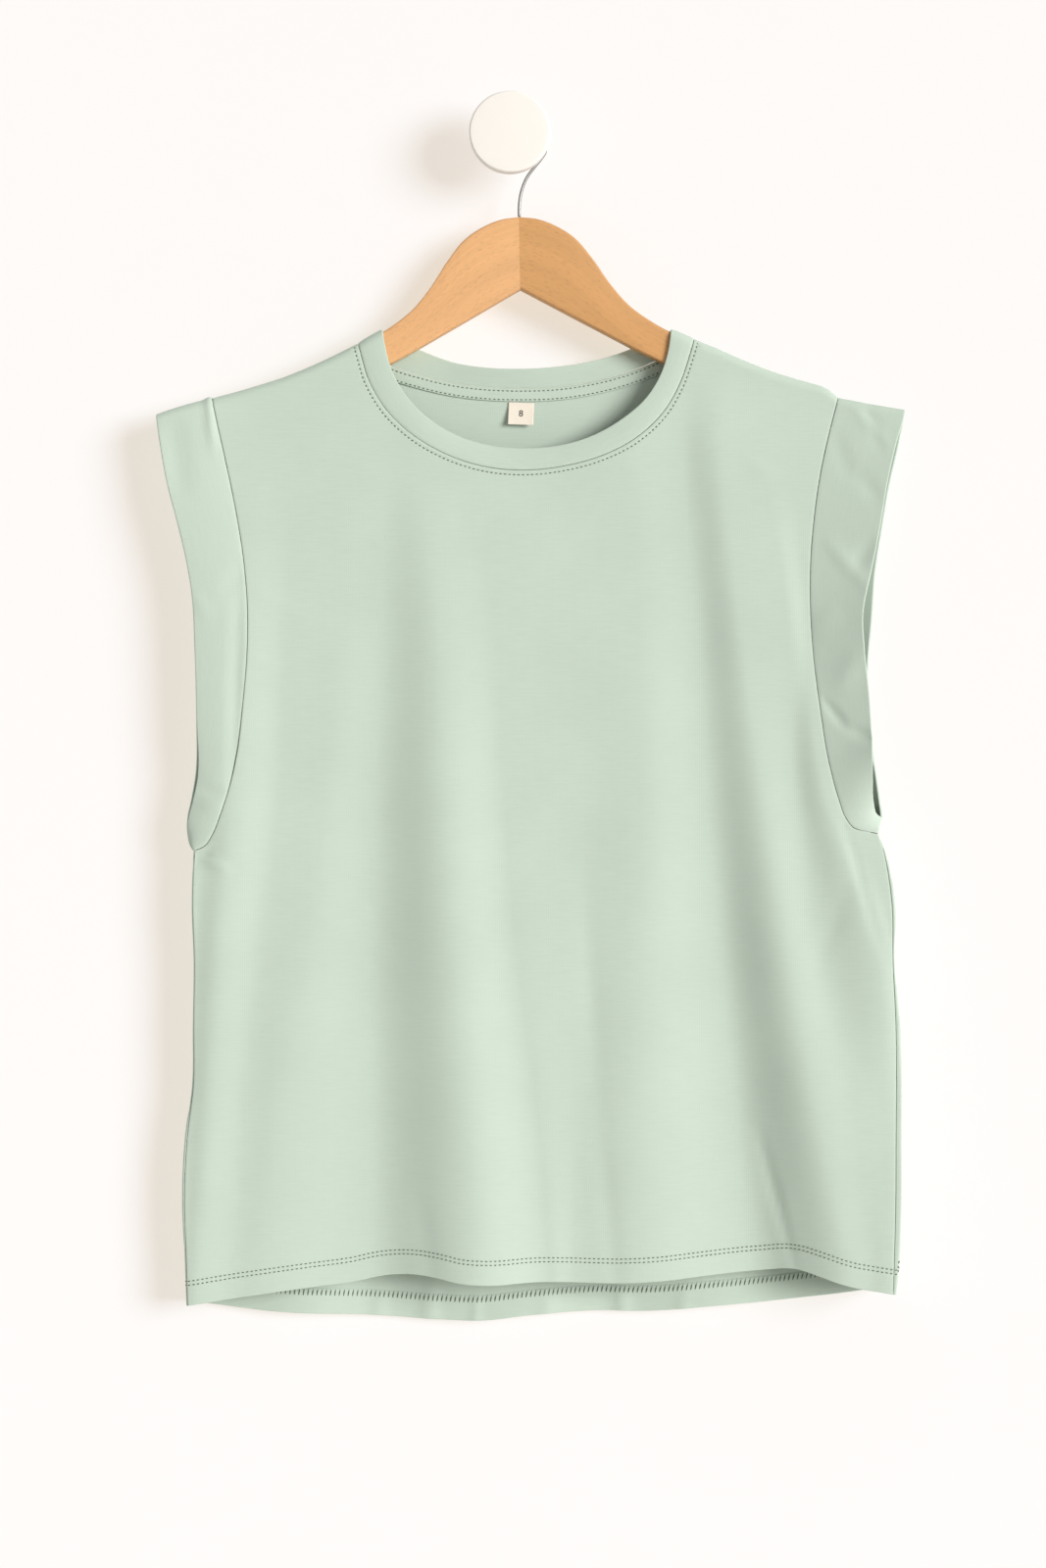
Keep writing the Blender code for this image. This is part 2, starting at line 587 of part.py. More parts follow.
def neckband(front, back):
    """The band round the neck, leaning a little into the opening."""
    first = len(COLUMNS_SHOULDER_LEFT)
    last = first + len(neck_fractions()) - 1
    ring = joined_ring(part_of_seam(front["top"], first, last), part_of_seam(back["top"], first, last))
    fractions = neck_fractions()
    halves = []
    for rows, is_front, lean in ((NECK_EDGE_FRONT, True, NECK_EDGE_LEAN_FRONT),
                                 (NECK_EDGE_BACK, False, NECK_EDGE_LEAN_BACK)):
        ends = [(x, float(shoulder_line(x))) for x in (NECK_EDGE_TOP_LEFT, NECK_EDGE_TOP_RIGHT)]
        flat = at_fraction(smooth_curve([ends[0], *rows, ends[1]]), fractions)
        points = panel_surface(flat[:, 0], flat[:, 1], is_front)
        inward = 1.0 if is_front else -1.0
        points[:, 1] += inward * lean * np.sin(np.pi * fractions) ** 2
        halves.append(points)
    edge = joined_ring({"points": halves[0], "normals": halves[0], "inward": halves[0]},
                       {"points": halves[1], "normals": halves[1], "inward": halves[1]})["points"]
    sewn_ring("neckband", ring, edge, NECKBAND_CELLS, FOLDED_WALL)


def band_edge(rows, top, forward, front, fractions):
    """The sleeve band's folded edge, open between front and back and closed at both ends. The whole edge
    stands forward of the hanger's plane, by the table's share along it."""
    curve = smooth_curve([top, *rows])
    flat = at_fraction(curve, fractions)
    run = fractions * length_of(curve)
    to_end = run[-1] - run
    opening = BAND_TOP_HALF_GAP + (BAND_MID_HALF_GAP - BAND_TOP_HALF_GAP) * np.sin(np.pi * fractions) ** 0.8
    gap = opening * round_over(run / BAND_TOP_ROLL) * round_over(to_end / BAND_UNDERARM_ROLL)
    along, reach = np.transpose(forward)
    depth = HANGER_Y - ease(along, reach, fractions) + (-gap if front else gap)
    return np.stack([flat[:, 0], depth, flat[:, 1]], axis=1)


def sleeve_band(name, front, back, left):
    side = "left" if left else "right"
    last = len(ROWS_ARMHOLE) - 1
    ring = joined_ring(part_of_seam(front[side], 0, last), part_of_seam(back[side], 0, last))
    fractions = np.array(ROWS_ARMHOLE) / ROWS_ARMHOLE[-1]
    top = BAND_TOP_DROP_LEFT if left else BAND_TOP_DROP_RIGHT
    forward = BAND_FORWARD_LEFT if left else BAND_FORWARD_RIGHT
    halves = [
        band_edge(BAND_EDGE_LEFT if left else BAND_EDGE_RIGHT, top, forward, True, fractions),
        band_edge(BAND_BACK_EDGE_LEFT if left else BAND_BACK_EDGE_RIGHT, top, forward, False, fractions),
    ]
    edge = np.concatenate([halves[0], halves[1][-2:0:-1]])
    sewn_ring(name, ring, edge, BAND_CELLS, FOLDED_WALL)


def inside_back(x, z, off):
    """Points off the inside of the back panel, measured square to it."""
    return panel_surface(x, z, False) - panel_normals(x, z, False) * (CLOTH_WALL + off)


def back_neck_tape():
    """Narrow tape on the inside of the back panel, just below the neck seam."""
    curve = neck_curve(NECK_SEAM_BACK)
    middle = at_fraction(curve, np.linspace(*TAPE_ENDS, TAPE_STATIONS + 1))
    along = unit(np.gradient(middle, axis=0))
    down = np.stack([along[:, 1], -along[:, 0]], axis=1)
    across = np.linspace(TAPE_TOP, TAPE_TOP + TAPE_WIDTH, 3)[:, None, None]
    flat = middle[None] + down[None] * across
    x, z = flat[..., 0], flat[..., 1]
    near = inside_back(x, z, SEAM_GAP)
    add_wall("back_neck_tape", near, inside_back(x, z, SEAM_GAP + TAPE_WALL), "sage jersey")


def size_label():
    """Small label on the inside of the back panel, with its top edge under the tape."""
    curve = neck_curve(NECK_SEAM_BACK)
    seam_z = float(np.interp(LABEL_CENTRE_X, curve[:, 0], curve[:, 1]))
    top = seam_z - TAPE_TOP - TAPE_WIDTH - 2 * SEAM_GAP
    across = np.linspace(-LABEL_WIDTH / 2, LABEL_WIDTH / 2, 4)[None, :]
    down = np.linspace(0, LABEL_HEIGHT, 4)[:, None]
    cos, sin = math.cos(LABEL_TURN), math.sin(LABEL_TURN)
    x = LABEL_CENTRE_X + across * cos + down * sin
    z = top - down * cos + across * sin
    add_wall("size_label", inside_back(x, z, SEAM_GAP), inside_back(x, z, SEAM_GAP + LABEL_WALL), "woven label")


# Hanger, hook and knob

def rounded_section(half_height, half_thickness):
    """Rounded rectangle across a hanger arm: offsets along its height and its thickness."""
    radius = min(HANGER_EDGE_RADIUS, half_height * 0.9, half_thickness * 0.9)
    points = []
    for quarter, (up, out) in enumerate(((1, 1), (-1, 1), (-1, -1), (1, -1))):
        for step in range(4):
            angle = math.radians(-90 * quarter + 90 - 30 * step)
            points.append((up * (half_height - radius) + radius * math.sin(angle),
                           out * (half_thickness - radius) + radius * math.cos(angle)))
    return np.array(points)


def hanger_half(name, side):
    """One half of the hanger: rounded sections from the centre joint to the rounded end."""
    fractions = np.linspace(0, 1, HANGER_STATIONS + 1)
    tops = at_fraction(smooth_curve(HANGER_TOP), fractions)
    bottoms = at_fraction(smooth_curve(HANGER_BOTTOM), fractions)
    tops[0, 0] = bottoms[0, 0] = SEAM_GAP / 2
    sections = []
    for top, bottom in zip(tops, bottoms):
        middle, half = (top + bottom) / 2, (top - bottom) / 2
        sections.append((middle, half, HANGER_THICKNESS / 2))
    middle, half, _ = sections[-1]
    outward = unit(np.array([half[1], -half[0]]))
    for angle in (25, 50, 72):
        reach = HANGER_END_LENGTH * math.sin(math.radians(angle))
        shrink = math.cos(math.radians(angle))
        thickness = HANGER_THICKNESS / 2 * (0.55 + 0.45 * shrink)
        sections.append((middle + outward * reach, half * shrink, thickness))
    rings = []
    for middle, half, thickness in sections:
        height = float(np.linalg.norm(half))
        offsets = rounded_section(height, thickness)
        flat = middle[None] + offsets[:, :1] * half[None] / height
        flat = turned_with_hanger(flat * (side, 1))
        rings.append(np.stack([flat[:, 0], HANGER_Y + offsets[:, 1], flat[:, 1]], axis=1))
    loft(name, rings, "beech")


def loft(name, rings, material_name):
    """Closed body through matching rings of points, with a flat face at each end."""
    count = len(rings[0])
    faces = []
    for ring in range(len(rings) - 1):
        for i in range(count):
            j = (i + 1) % count
            low, high = ring * count, (ring + 1) * count
            faces.append((low + i, low + j, high + j, high + i))
    faces.append(tuple(range(count)))
    faces.append(tuple(range((len(rings) - 1) * count, len(rings) * count)))
    return add_mesh(name, np.concatenate(rings), faces, material_name)


def wall_knob():
    """Turned knob: a shaft out of the wall and a thick disc with a rounded edge."""
    profile = (
        # radius, distance from the wall
        (KNOB_SHAFT_RADIUS, 0.0),
        (KNOB_SHAFT_RADIUS, KNOB_SHAFT_LENGTH),
        (KNOB_RADIUS - KNOB_BACK_EDGE, KNOB_SHAFT_LENGTH),
        (KNOB_RADIUS - 0.3 * KNOB_BACK_EDGE, KNOB_SHAFT_LENGTH + 0.3 * KNOB_BACK_EDGE),
        (KNOB_RADIUS, KNOB_SHAFT_LENGTH + KNOB_BACK_EDGE),
        (KNOB_RADIUS, KNOB_DEPTH - KNOB_FRONT_EDGE),
        (KNOB_RADIUS - 0.134 * KNOB_FRONT_EDGE, KNOB_DEPTH - 0.5 * KNOB_FRONT_EDGE),
        (KNOB_RADIUS - 0.5 * KNOB_FRONT_EDGE, KNOB_DEPTH - 0.134 * KNOB_FRONT_EDGE),
        (KNOB_RADIUS - KNOB_FRONT_EDGE, KNOB_DEPTH),
    )
    angles = np.linspace(0, 2 * np.pi, KNOB_SIDES, endpoint=False)
    rings = [np.stack([r * np.cos(angles), np.full(KNOB_SIDES, -y), r * np.sin(angles)], axis=1) for r, y in profile]
    loft("wall_knob", rings, "white knob")


def hook_path():
    """Wire route in X and Z: up from the hanger, across, then round over the knob's shaft."""
    angles = np.radians(np.arange(HOOK_ARC_START, HOOK_ARC_END + 1, HOOK_ARC_STEP))
    arc = np.stack([HOOK_ARC_CENTRE[0] + HOOK_ARC_RADIUS * np.cos(angles),
                    HOOK_ARC_CENTRE[1] + HOOK_ARC_RADIUS * np.sin(angles)], axis=1)
    curve = smooth_curve(np.concatenate([HOOK_STEM, arc]))
    return at_fraction(curve, np.linspace(0, 1, HOOK_STATIONS))


def hanger_hook():
    """Round wire as a bevelled curve."""
    path = hook_path()
    curve = bpy.data.curves.new("hanger_hook", "CURVE")
    curve.dimensions = "3D"
    curve.bevel_depth = HOOK_WIRE_RADIUS * MM
    curve.bevel_resolution = 2
    curve.use_fill_caps = True
    spline = curve.splines.new("POLY")
    spline.points.add(len(path) - 1)
    for point, (x, z) in zip(spline.points, path):
        point.co = (x * MM, HANGER_Y * MM, z * MM, 1)
    curve.materials.append(material("hook wire"))
    obj = bpy.data.objects.new("hanger_hook", curve)
    bpy.context.scene.collection.objects.link(obj)


def main():
    remove_scene_objects()
    front = panel("front_panel", front=True)
    back = panel("back_panel", front=False)
    neckband(front, back)
    sleeve_band("sleeve_band_left", front, back, left=True)
    sleeve_band("sleeve_band_right", front, back, left=False)
    back_neck_tape()
    size_label()
    hanger_half("hanger_half_left", -1)
    hanger_half("hanger_half_right", 1)
    hanger_hook()
    wall_knob()


main()
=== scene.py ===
"""Looks of a sleeveless crew-neck tank top in sage cotton jersey, on a beech hanger and a wall knob.

The file is laid out as an add-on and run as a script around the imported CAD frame. Lengths in the
tables are millimetres in the frame's own axes: +X right as seen from the front, +Y into the wall,
+Z up, from the centre of the knob's back face.
"""

import math

import bpy
import numpy as np
from bpy.props import FloatProperty, FloatVectorProperty, IntProperty, PointerProperty
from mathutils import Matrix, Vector


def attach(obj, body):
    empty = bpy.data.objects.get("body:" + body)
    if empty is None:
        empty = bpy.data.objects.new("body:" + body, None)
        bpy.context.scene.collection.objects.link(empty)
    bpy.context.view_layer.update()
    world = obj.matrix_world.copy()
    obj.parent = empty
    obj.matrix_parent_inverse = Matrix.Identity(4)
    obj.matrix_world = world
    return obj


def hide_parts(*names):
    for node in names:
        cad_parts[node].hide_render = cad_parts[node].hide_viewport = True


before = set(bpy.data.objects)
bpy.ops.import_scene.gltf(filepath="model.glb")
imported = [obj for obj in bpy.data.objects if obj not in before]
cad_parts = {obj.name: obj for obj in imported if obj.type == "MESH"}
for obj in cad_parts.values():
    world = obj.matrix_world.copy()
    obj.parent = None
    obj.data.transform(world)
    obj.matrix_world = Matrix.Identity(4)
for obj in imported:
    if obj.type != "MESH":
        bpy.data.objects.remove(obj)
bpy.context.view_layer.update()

bl_info = {
    "name": "Tank top on a hanger",
    "version": (1, 0, 0),
    "blender": (4, 5, 0),
    "location": "View3D > Sidebar > Tank Top",
    "description": "Builds the cloth, hanger and knob of a hung tank top round its packed frame",
    "category": "Add Mesh",
}

MM = 0.001

# The way that each face looks in Y and each side lies in X
FACING = {"front": -1.0, "back": 1.0}
OUTWARD = {"left": -1.0, "right": 1.0}

# How finely curves and slopes are worked out, and the angle above which a built edge stays sharp
CURVE_SAMPLES = 600
NORMAL_STEP = 0.01
TOP_LINE_END_SAMPLES = 30
TOP_LINE_REACH = 6
COUNT_TOLERANCE = 1e-6
SHARP_ABOVE = math.radians(40)

# Cloth walls and gaps
SEAM_GAP = 0.3
RING_SEAM_GAP = 0.22
CLOTH_WALL = 1.2
FOLDED_WALL = 1.8
TAPE_WALL = 0.9
LABEL_WALL = 0.6
# Share of a thin wall that a rounded edge may take from each face
MOST_TURN_IN = 0.45

# Hanger, knob and hook
HANGER_CENTRE = (6.4, -78.4)
HANGER_TILT = math.radians(1.2)
HANGER_Y = -22.0
HANGER_THICKNESS = 11.0
HANGER_EDGE_RADIUS = 2.2
HANGER_END_LENGTH = 7.0
HANGER_GAP = 0.6
HANGER_JOINT_GAP = 0.04
HANGER_STATIONS = 110
HANGER_END_ANGLES = (8, 17, 26, 35, 44, 53, 62, 71, 79)
HANGER_END_FLAT = 0.55
HANGER_EDGE_STEPS = 7
# Share of the arm's half height or thickness that its rounded edge may take
MOST_ROUND = 0.9
# How far apart the two halves' grain starts, so that they differ
GRAIN_OFFSET = 4.0
KNOB_RADIUS = 27.0
KNOB_SHAFT_RADIUS = 9.0
KNOB_SHAFT_LENGTH = 30.0
KNOB_DEPTH = 42.0
KNOB_FRONT_EDGE = 1.6
KNOB_BACK_EDGE = 4.0
KNOB_CROWN = 0.5
KNOB_SIDES = 96
KNOB_SHARP_ABOVE = math.radians(50)
KNOB_EDGE_STEPS = 9
KNOB_FACE_CENTRE = 1.0
# Where the shaft widens into the disc: added radius, how far before the shaft's end
KNOB_FLARE = ((0, 1.2), (0.4, 0.3), (1.2, 0))
HOOK_ARC_CENTRE = (3.8, -8.4)
HOOK_ARC_RADIUS = 19.8
HOOK_ARC_START = -4.0
HOOK_ARC_END = 206.0
HOOK_ARC_POINTS = 22
HOOK_STATIONS = 150
HOOK_SIDES = 16
HOOK_DOME_ANGLES = (80, 60, 40, 20)
HANGER_TOP = (
    (0, 24.5), (12, 23), (24, 18.4), (36, 10.6), (48, -3.6), (60, -21.4), (72, -35.6), (88, -47.6),
    (112, -60.3), (148, -76.3), (180, -87.7), (196, -92.6),
)
HANGER_BOTTOM = ((0, -23.5), (45, -48.5), (90, -72.8), (130, -91), (168, -104), (195, -111.4))
HOOK_STEM = ((6.2, -53.5), (6.2, -45.5), (7.6, -36.5), (11, -27.5), (16.8, -19.4), (21.4, -13.6))

# How the cloth rolls over the hanger's top edge
ROLL_HEIGHT = 7.6
ROLL = {"front": 7.6, "back": 9.4}
ROLL_POWER = 2.5
SHOULDER_LIFT = (
    # x, how far the cloth stands above the line of the hanger's top edge there
    (-197.8, 2.7), (-183, 1.8), (-168, 1.2), (-150, 0.2), (-130, 0), (110, 0), (122, 1.2), (137, 1.7),
    (158, 0.7), (175, 0), (207, 0), (212, -1.1), (219, -5.2),
)
FOLDS_START_BELOW_SHOULDER = 10.0
FOLDS_FULL_BELOW_SHOULDER = 90.0

# Panel outlines in X and Z
SHOULDER_TIP = {"left": -197.8, "right": 218.0}
NECK_POINT = {"left": -101.2, "right": 122.6}
NECK_SEAM = {
    "front": (
        (-98.8, -146), (-94.4, -161), (-84.5, -179.3), (-67, -197.3), (-44.3, -211.1), (-18, -220),
        (8, -222.6), (37.6, -219.5), (60, -213.3), (82.4, -202), (101.9, -183.8), (113.6, -163),
        (119, -147),
    ),
    "back": (
        (-95, -143), (-78.7, -151.5), (-59.7, -157.5), (-37.5, -162.6), (-14.6, -165.3), (7.1, -166),
        (30.6, -165.2), (60.1, -160.5), (87.6, -152.2), (107, -143.3), (117, -137.5),
    ),
}
NECK_EDGE = {
    "front": (
        (-82.9, -139), (-78.7, -155.1), (-69.6, -172), (-54.7, -187.6), (-37.1, -198.4), (-14.4, -205.8),
        (7.7, -207.9), (30.5, -206.4), (52.6, -200.4), (74.7, -188.2), (90, -174.8), (100.2, -158.3),
        (104.8, -144),
    ),
    "back": (
        (-79, -131), (-70, -136), (-58.4, -141.3), (-37.5, -149), (-14.5, -152.6), (7.1, -153.3),
        (30.6, -152), (52.9, -148.5), (74, -142.5), (92, -135), (102.5, -129.5),
    ),
}
NECK_EDGE_TOP = {"left": -84.7, "right": 107.0}
NECK_EDGE_LEAN = {"front": 2.0, "back": 3.0}

# Armhole seams and the sleeve bands' folded edges, from the shoulder to the underarm, in X and Z
ARMHOLE = {
    "left": (
        (-195.1, -187), (-189.2, -213.6), (-182.7, -244.1), (-176.9, -278.6), (-174, -310), (-173.8, -338),
        (-176.9, -379), (-180.3, -408.6), (-184.9, -430), (-191.2, -449.6), (-197.2, -464.6),
        (-202, -471.8),
    ),
    "right": (
        (211.8, -197.3), (205.6, -225.3), (201.4, -254.5), (199, -285), (199, -318), (201.2, -350),
        (205, -380), (210.4, -415), (217, -440.5), (221.8, -453.4), (227, -459.8), (234.6, -462),
    ),
}
UNDERARM_Z = {"left": -475.2, "right": -463.6}
BAND_EDGE = {
    "left": {
        "front": (
            (-234.1, -190), (-230.8, -211.6), (-226.6, -233.5), (-221.1, -254.5), (-214.6, -281.9),
            (-210.6, -306), (-208.8, -340), (-207.6, -385), (-207.4, -430), (-210.7, -444), (-213.2, -454),
            (-213.8, -461.5), (-213.4, -467),
        ),
        "back": (
            (-234.1, -190), (-229, -213), (-223.5, -236), (-218, -262), (-213.5, -288), (-210.6, -315),
            (-209.6, -345), (-209.2, -385), (-209.6, -425), (-212.6, -443), (-214.6, -453),
            (-214.6, -461.5), (-213.4, -467),
        ),
    },
    "right": {
        "front": (
            (261.2, -187), (255.8, -205), (249.3, -233), (244.3, -262), (238.2, -292), (233, -316.9),
            (233.9, -342.9), (236.5, -368), (238.4, -400), (239.1, -428), (240.2, -443), (242.6, -450.5),
            (246.6, -453),
        ),
        "back": (
            (261.7, -187), (258.4, -205.5), (252.4, -232), (247.3, -262), (243, -290), (240.6, -322),
            (238, -350), (237.6, -380), (240, -408), (243.6, -430), (245.6, -443), (246.6, -449.5),
            (246.6, -453),
        ),
    },
}
BAND_TOP = {"left": (-234.6, -186.0), "right": (262.0, -182.8)}
BAND_TOP_HALF_GAP = 3.2
BAND_GAP_POWER = 0.8
BAND_TOP_ROLL = 4.0
BAND_MID_HALF_GAP = 9.0
BAND_UNDERARM_ROLL = 12.0
BAND_FORWARD = {
    # share of the edge from the shoulder, how far it stands forward of the hanger there
    "left": ((0, 6), (0.12, 6), (0.35, 3), (0.6, 3), (0.85, 4), (1, 4)),
    "right": (
        (0, 6), (0.2, 8.8), (0.4, 10.5), (0.58, 13), (0.7, 14), (0.76, 15.5), (0.84, 19.5), (0.93, 15.5),
        (1, 9),
    ),
}

# Side of the body: height, silhouette and how far the side seam sits in from it, left and right
SIDES = (
    # z, left, seam in from left, right, seam in from right
    (-463.6, -209.8, 0.3, 244.2, 0.3),
    (-475.2, -210.2, 0.3, 248.6, 1.8),
    (-510, -211.4, 1.0, 255.2, 3.2),
    (-548, -210.2, 1.0, 254.8, 2.2),
    (-590, -210.8, 1.0, 258.4, 4.0),
    (-630, -211.2, 1.3, 259.4, 4.8),
    (-665, -216.0, 2.0, 259.2, 5.0),
    (-705, -217.9, 2.0, 259.0, 5.2),
    (-745, -216.3, 1.6, 257.2, 4.6),
    (-780, -214.9, 1.2, 254.0, 2.8),
)
SIDE_COLUMN = {"left": 1, "right": 3}
SIDE_ROLL = 1.5
SIDE_DEPTH = -24.0
FLARE_ABOVE_UNDERARM = 1.0

# Hem, in X and Z; its ends are the side seams
HEM_Z = {"left": -777.0, "right": -766.5}
HEM = {
    "front": (
        (-170, -770), (-130, -764.5), (-105, -761.4), (-81, -756.6), (-65, -755.6), (-49, -757.4),
        (-33, -760.6), (-12, -761.7), (15, -760.4), (77, -761), (101, -759.7), (125, -757.2),
        (165, -753.3), (190, -751.6), (203, -755.3), (219, -760.5),
    ),
    "back": (
        (-164, -783.2), (-91, -786.6), (-48, -789.4), (-18, -789.8), (15, -786), (55, -783.6),
        (94, -783.6), (136, -780), (176, -776.7), (225, -771.6),
    ),
}

# Fold lines: where each crest or trough runs and how far it stands off the hanger's plane
FOLD_LEVELS = (-224, -327, -431, -534, -644, -754)
FOLDS = {
    # x at each level, height at each level
    "front": (
        ((-188, -198, -200, -210, -215, -217), (1, 3.2, 4.2, 2.4, 0.8, 0.6)),
        ((-172, -178, -184, -192, -199, -207), (1, 4, 5.4, 5, 3, 1.5)),
        ((-142, -148, -152, -163, -176, -184), (1, 1.8, 1.8, 1.8, 1.2, 0.6)),
        ((-113, -116, -123, -136, -151, -163), (1, 1.8, 2, 2.5, 2.4, 1.4)),
        ((-84, -85, -90, -93, -93, -92), (1, 0.9, 0.2, -0.6, -1, -1.7)),
        ((-58, -47, -42, -36, -28, -21), (1.4, 5.2, 8.6, 11, 13, 14.5)),
        ((-25, -10, -4, 4, 18, 28), (1.2, 3, 4.6, 5.6, 5.8, 6.6)),
        ((24, 40, 46, 48, 46, 42), (1.2, 2.6, 3.9, 4.4, 4.6, 5.4)),
        ((78, 86, 88, 86, 84, 88), (1.6, 3, 5.2, 6.6, 7.2, 8)),
        ((114, 124, 131, 139, 149, 160), (0.4, 0.8, 0.8, 0.8, 0.4, 0)),
        ((140, 153, 166, 181, 203, 226), (3.6, 6, 8.2, 12.6, 17, 19.8)),
        ((168, 185, 188, 204, 228, 237), (3.2, 5.6, 6.8, 10, 15.8, 19.8)),
        ((188, 198, 207, 241, 248, 248), (3, 4.2, 10.4, 14.4, 15.8, 20.6)),
        ((204, 209, 217, 254, 258, 258), (3, 4.2, 10.4, 12.6, 15.4, 20.6)),
    ),
    "back": (
        ((-170, -175, -182, -188, -192, -196), (1, 2, 4, 6, 7, 7)),
        ((-120, -124, -130, -134, -138, -140), (1, 1, 1.5, 2, 2, 2)),
        ((-66, -66, -68, -72, -76, -80), (1, 3, 5, 6.5, 7.5, 8)),
        ((-8, -6, -2, 2, 4, 6), (1, 1.4, 2, 2, 2, 2)),
        ((60, 62, 64, 66, 66, 64), (1, 2.5, 4.5, 6, 7, 7.4)),
        ((118, 122, 128, 130, 132, 134), (1, 1, 1.4, 2, 2.4, 2)),
        ((176, 182, 192, 200, 206, 208), (1, 2.4, 4.6, 6.4, 7.4, 7.6)),
    ),
}

# The CAD grid's own rows and columns, which the finer grid runs between
ROWS_ARMHOLE = (0, 0.45, 1.84, 4.13, 7.6, 18, 45, 85, 125, 165, 205, 245, 278, 296, 303, 307, 310)
ROWS_SIDE = (6, 24, 54, 88, 122, 156, 189, 222, 252, 280, 303)
COLUMNS_NECK = (0, 0.5, 2, 4.5, 8, 16, 29, 46, 66, 88, 112, 138, 165)
COLUMNS_SHOULDER = {
    "left": (0, 0.015, 0.04, 0.08, 0.14, 0.25, 0.42, 0.62, 0.82),
    "right": (0.09, 0.18, 0.27, 0.36, 0.44, 0.52, 0.6, 0.68, 0.76, 0.83, 0.89, 0.935, 0.965, 0.987, 1),
}
UNDERARM_DIP = 8.0
UNDERARM_DIP_WIDTH = 10.0
UNDERARM_DIP_REACH = 90.0
NECK_SPREAD = 9.0
NECK_SPREAD_DEPTH = 11.0
NECK_SPREAD_REACH = 85.0
HEM_SHARE_LEFT = 0.235
HEM_SHARE_NECK = 0.53

# Tape and label
TAPE_TOP = 0.8
TAPE_WIDTH = 8.4
TAPE_ENDS = (0.085, 0.925)
TAPE_STATIONS = 121
TAPE_SHARES = (
    0, 0.03, 0.08, 0.13, 0.18, 0.24, 0.32, 0.42, 0.52, 0.62, 0.72, 0.78, 0.83, 0.88, 0.93, 0.97, 1.0,
)
TAPE_EDGE_RADIUS = 0.45
TAPE_GROOVE = 0.12
LABEL_CENTRE_X = 7.6
LABEL_WIDTH = 17.0
LABEL_HEIGHT = 15.2
LABEL_SHARES = (0, 0.01, 0.03, 0.07, 0.15, 0.25, 0.35, 0.5, 0.65, 0.75, 0.85, 0.93, 0.97, 0.99, 1.0)
LABEL_EDGE_RADIUS = 0.3
LABEL_CURL = 3.4
LABEL_CURL_POWER = 1.6
LABEL_CORNER_CURL = 0.35
LABEL_TURN = math.radians(-2.0)
# How much the number's strokes are widened, and its two faces from the label's
NUMBER_BOLDNESS = 0.012
INK_FACES = (0.07, -0.05)

# Finer grid than the CAD's: extra stations that let seams, hems and stitch grooves show
PANEL_STEP = 3.6
SHOULDER_SLANT = 1.1
ROWS_NEAR_TOP = (0.9, 1.35, 2.6, 3.3, 4.8, 5.5, 6.2, 7.0, 8.6, 9.8, 11.5)
ROWS_NEAR_UNDERARM = (305.3, 308.6, 309.4)
HEM_DISTANCES = (
    0.12, 0.35, 0.7, 1.2, 2, 11.8, 12.6, 13.1, 13.6, 14.1, 14.8, 15.6, 16.2, 16.7, 17.2, 17.8, 18.6,
)
COLUMNS_NEAR_EDGE = (0.004, 0.009, 0.022, 0.03)
HEM_INTERVAL_AT_NECK = 10.4
RING_SHARES = (
    0, 0.012, 0.03, 0.06, 0.1, 0.15, 0.21, 0.28, 0.36, 0.44, 0.52, 0.6, 0.68, 0.76, 0.83, 0.89, 0.93,
    0.96, 0.98, 0.993, 1.0,
)

# Slope of the grid lines at a panel's edge, for distances square to it
ROWS_TO_LEAVE_EDGE = 3
LEAST_LEAVING_SINE = 0.35

# Sewing
STITCH_PITCH = 3.0
STITCH_LENGTH = 1.8
STITCH_RADIUS = 0.36
# Places along a stitch and its thickness there, its rise at the middle and how far it sinks, in thread radii
STITCH_SHARES = (0.0, 0.2, 0.5, 0.8, 1.0)
STITCH_THICKNESS = (0.45, 0.9, 1.0, 0.9, 0.45)
STITCH_SIDES = 6
STITCH_RISE = 1.3
STITCH_SINK = 0.6
# Where the first stitch of a row begins, in pitches
FIRST_STITCH = 0.2
FIRST_ZIGZAG = 0.3
# Distances of the rows from their seam or hem
NECK_STITCH_ROWS = {"front": (3.1,), "back": (2.2, 8.0)}
HEM_STITCH_ROWS = (13.6, 16.2)
ZIGZAG_ROWS = (12.0, 17.4)
ZIGZAG_LEAN = 0.35
ZIGZAG_THREAD = 1.25
HEM_DEPTH = 17.2
# How the cloth sinks at seams, under stitch rows and next to the bands
SEAM_DIP = 0.22
SEAM_DIP_WIDTH = 0.7
RING_SUNK = 0.62
RING_SUNK_WIDTH = {"neckband": 9.0, "left": 12.0, "right": 12.0}
GROOVE = 0.14
GROOVE_WIDTH = 0.7
# The turned-up hem inside, and how much of the outside's relief the inside shows
HEM_TURNED_WALL = 0.5
HEM_TURNED_EDGE = 0.8
HEM_TURN_INSIDE = 1.6
RELIEF_INSIDE = 0.7
CREASE_TAPER = 0.8
# How the bands turn away from the seam and puff up between it and their fold
RING_SEAM_BLEND = 0.06
RING_ARCH_POWER = 0.7
RING_ARCH_INSIDE = 0.3
BAND_FOLD_RADIUS = 0.5
BAND_PUFF_SHARE = {"left": 1.0, "right": -0.6}

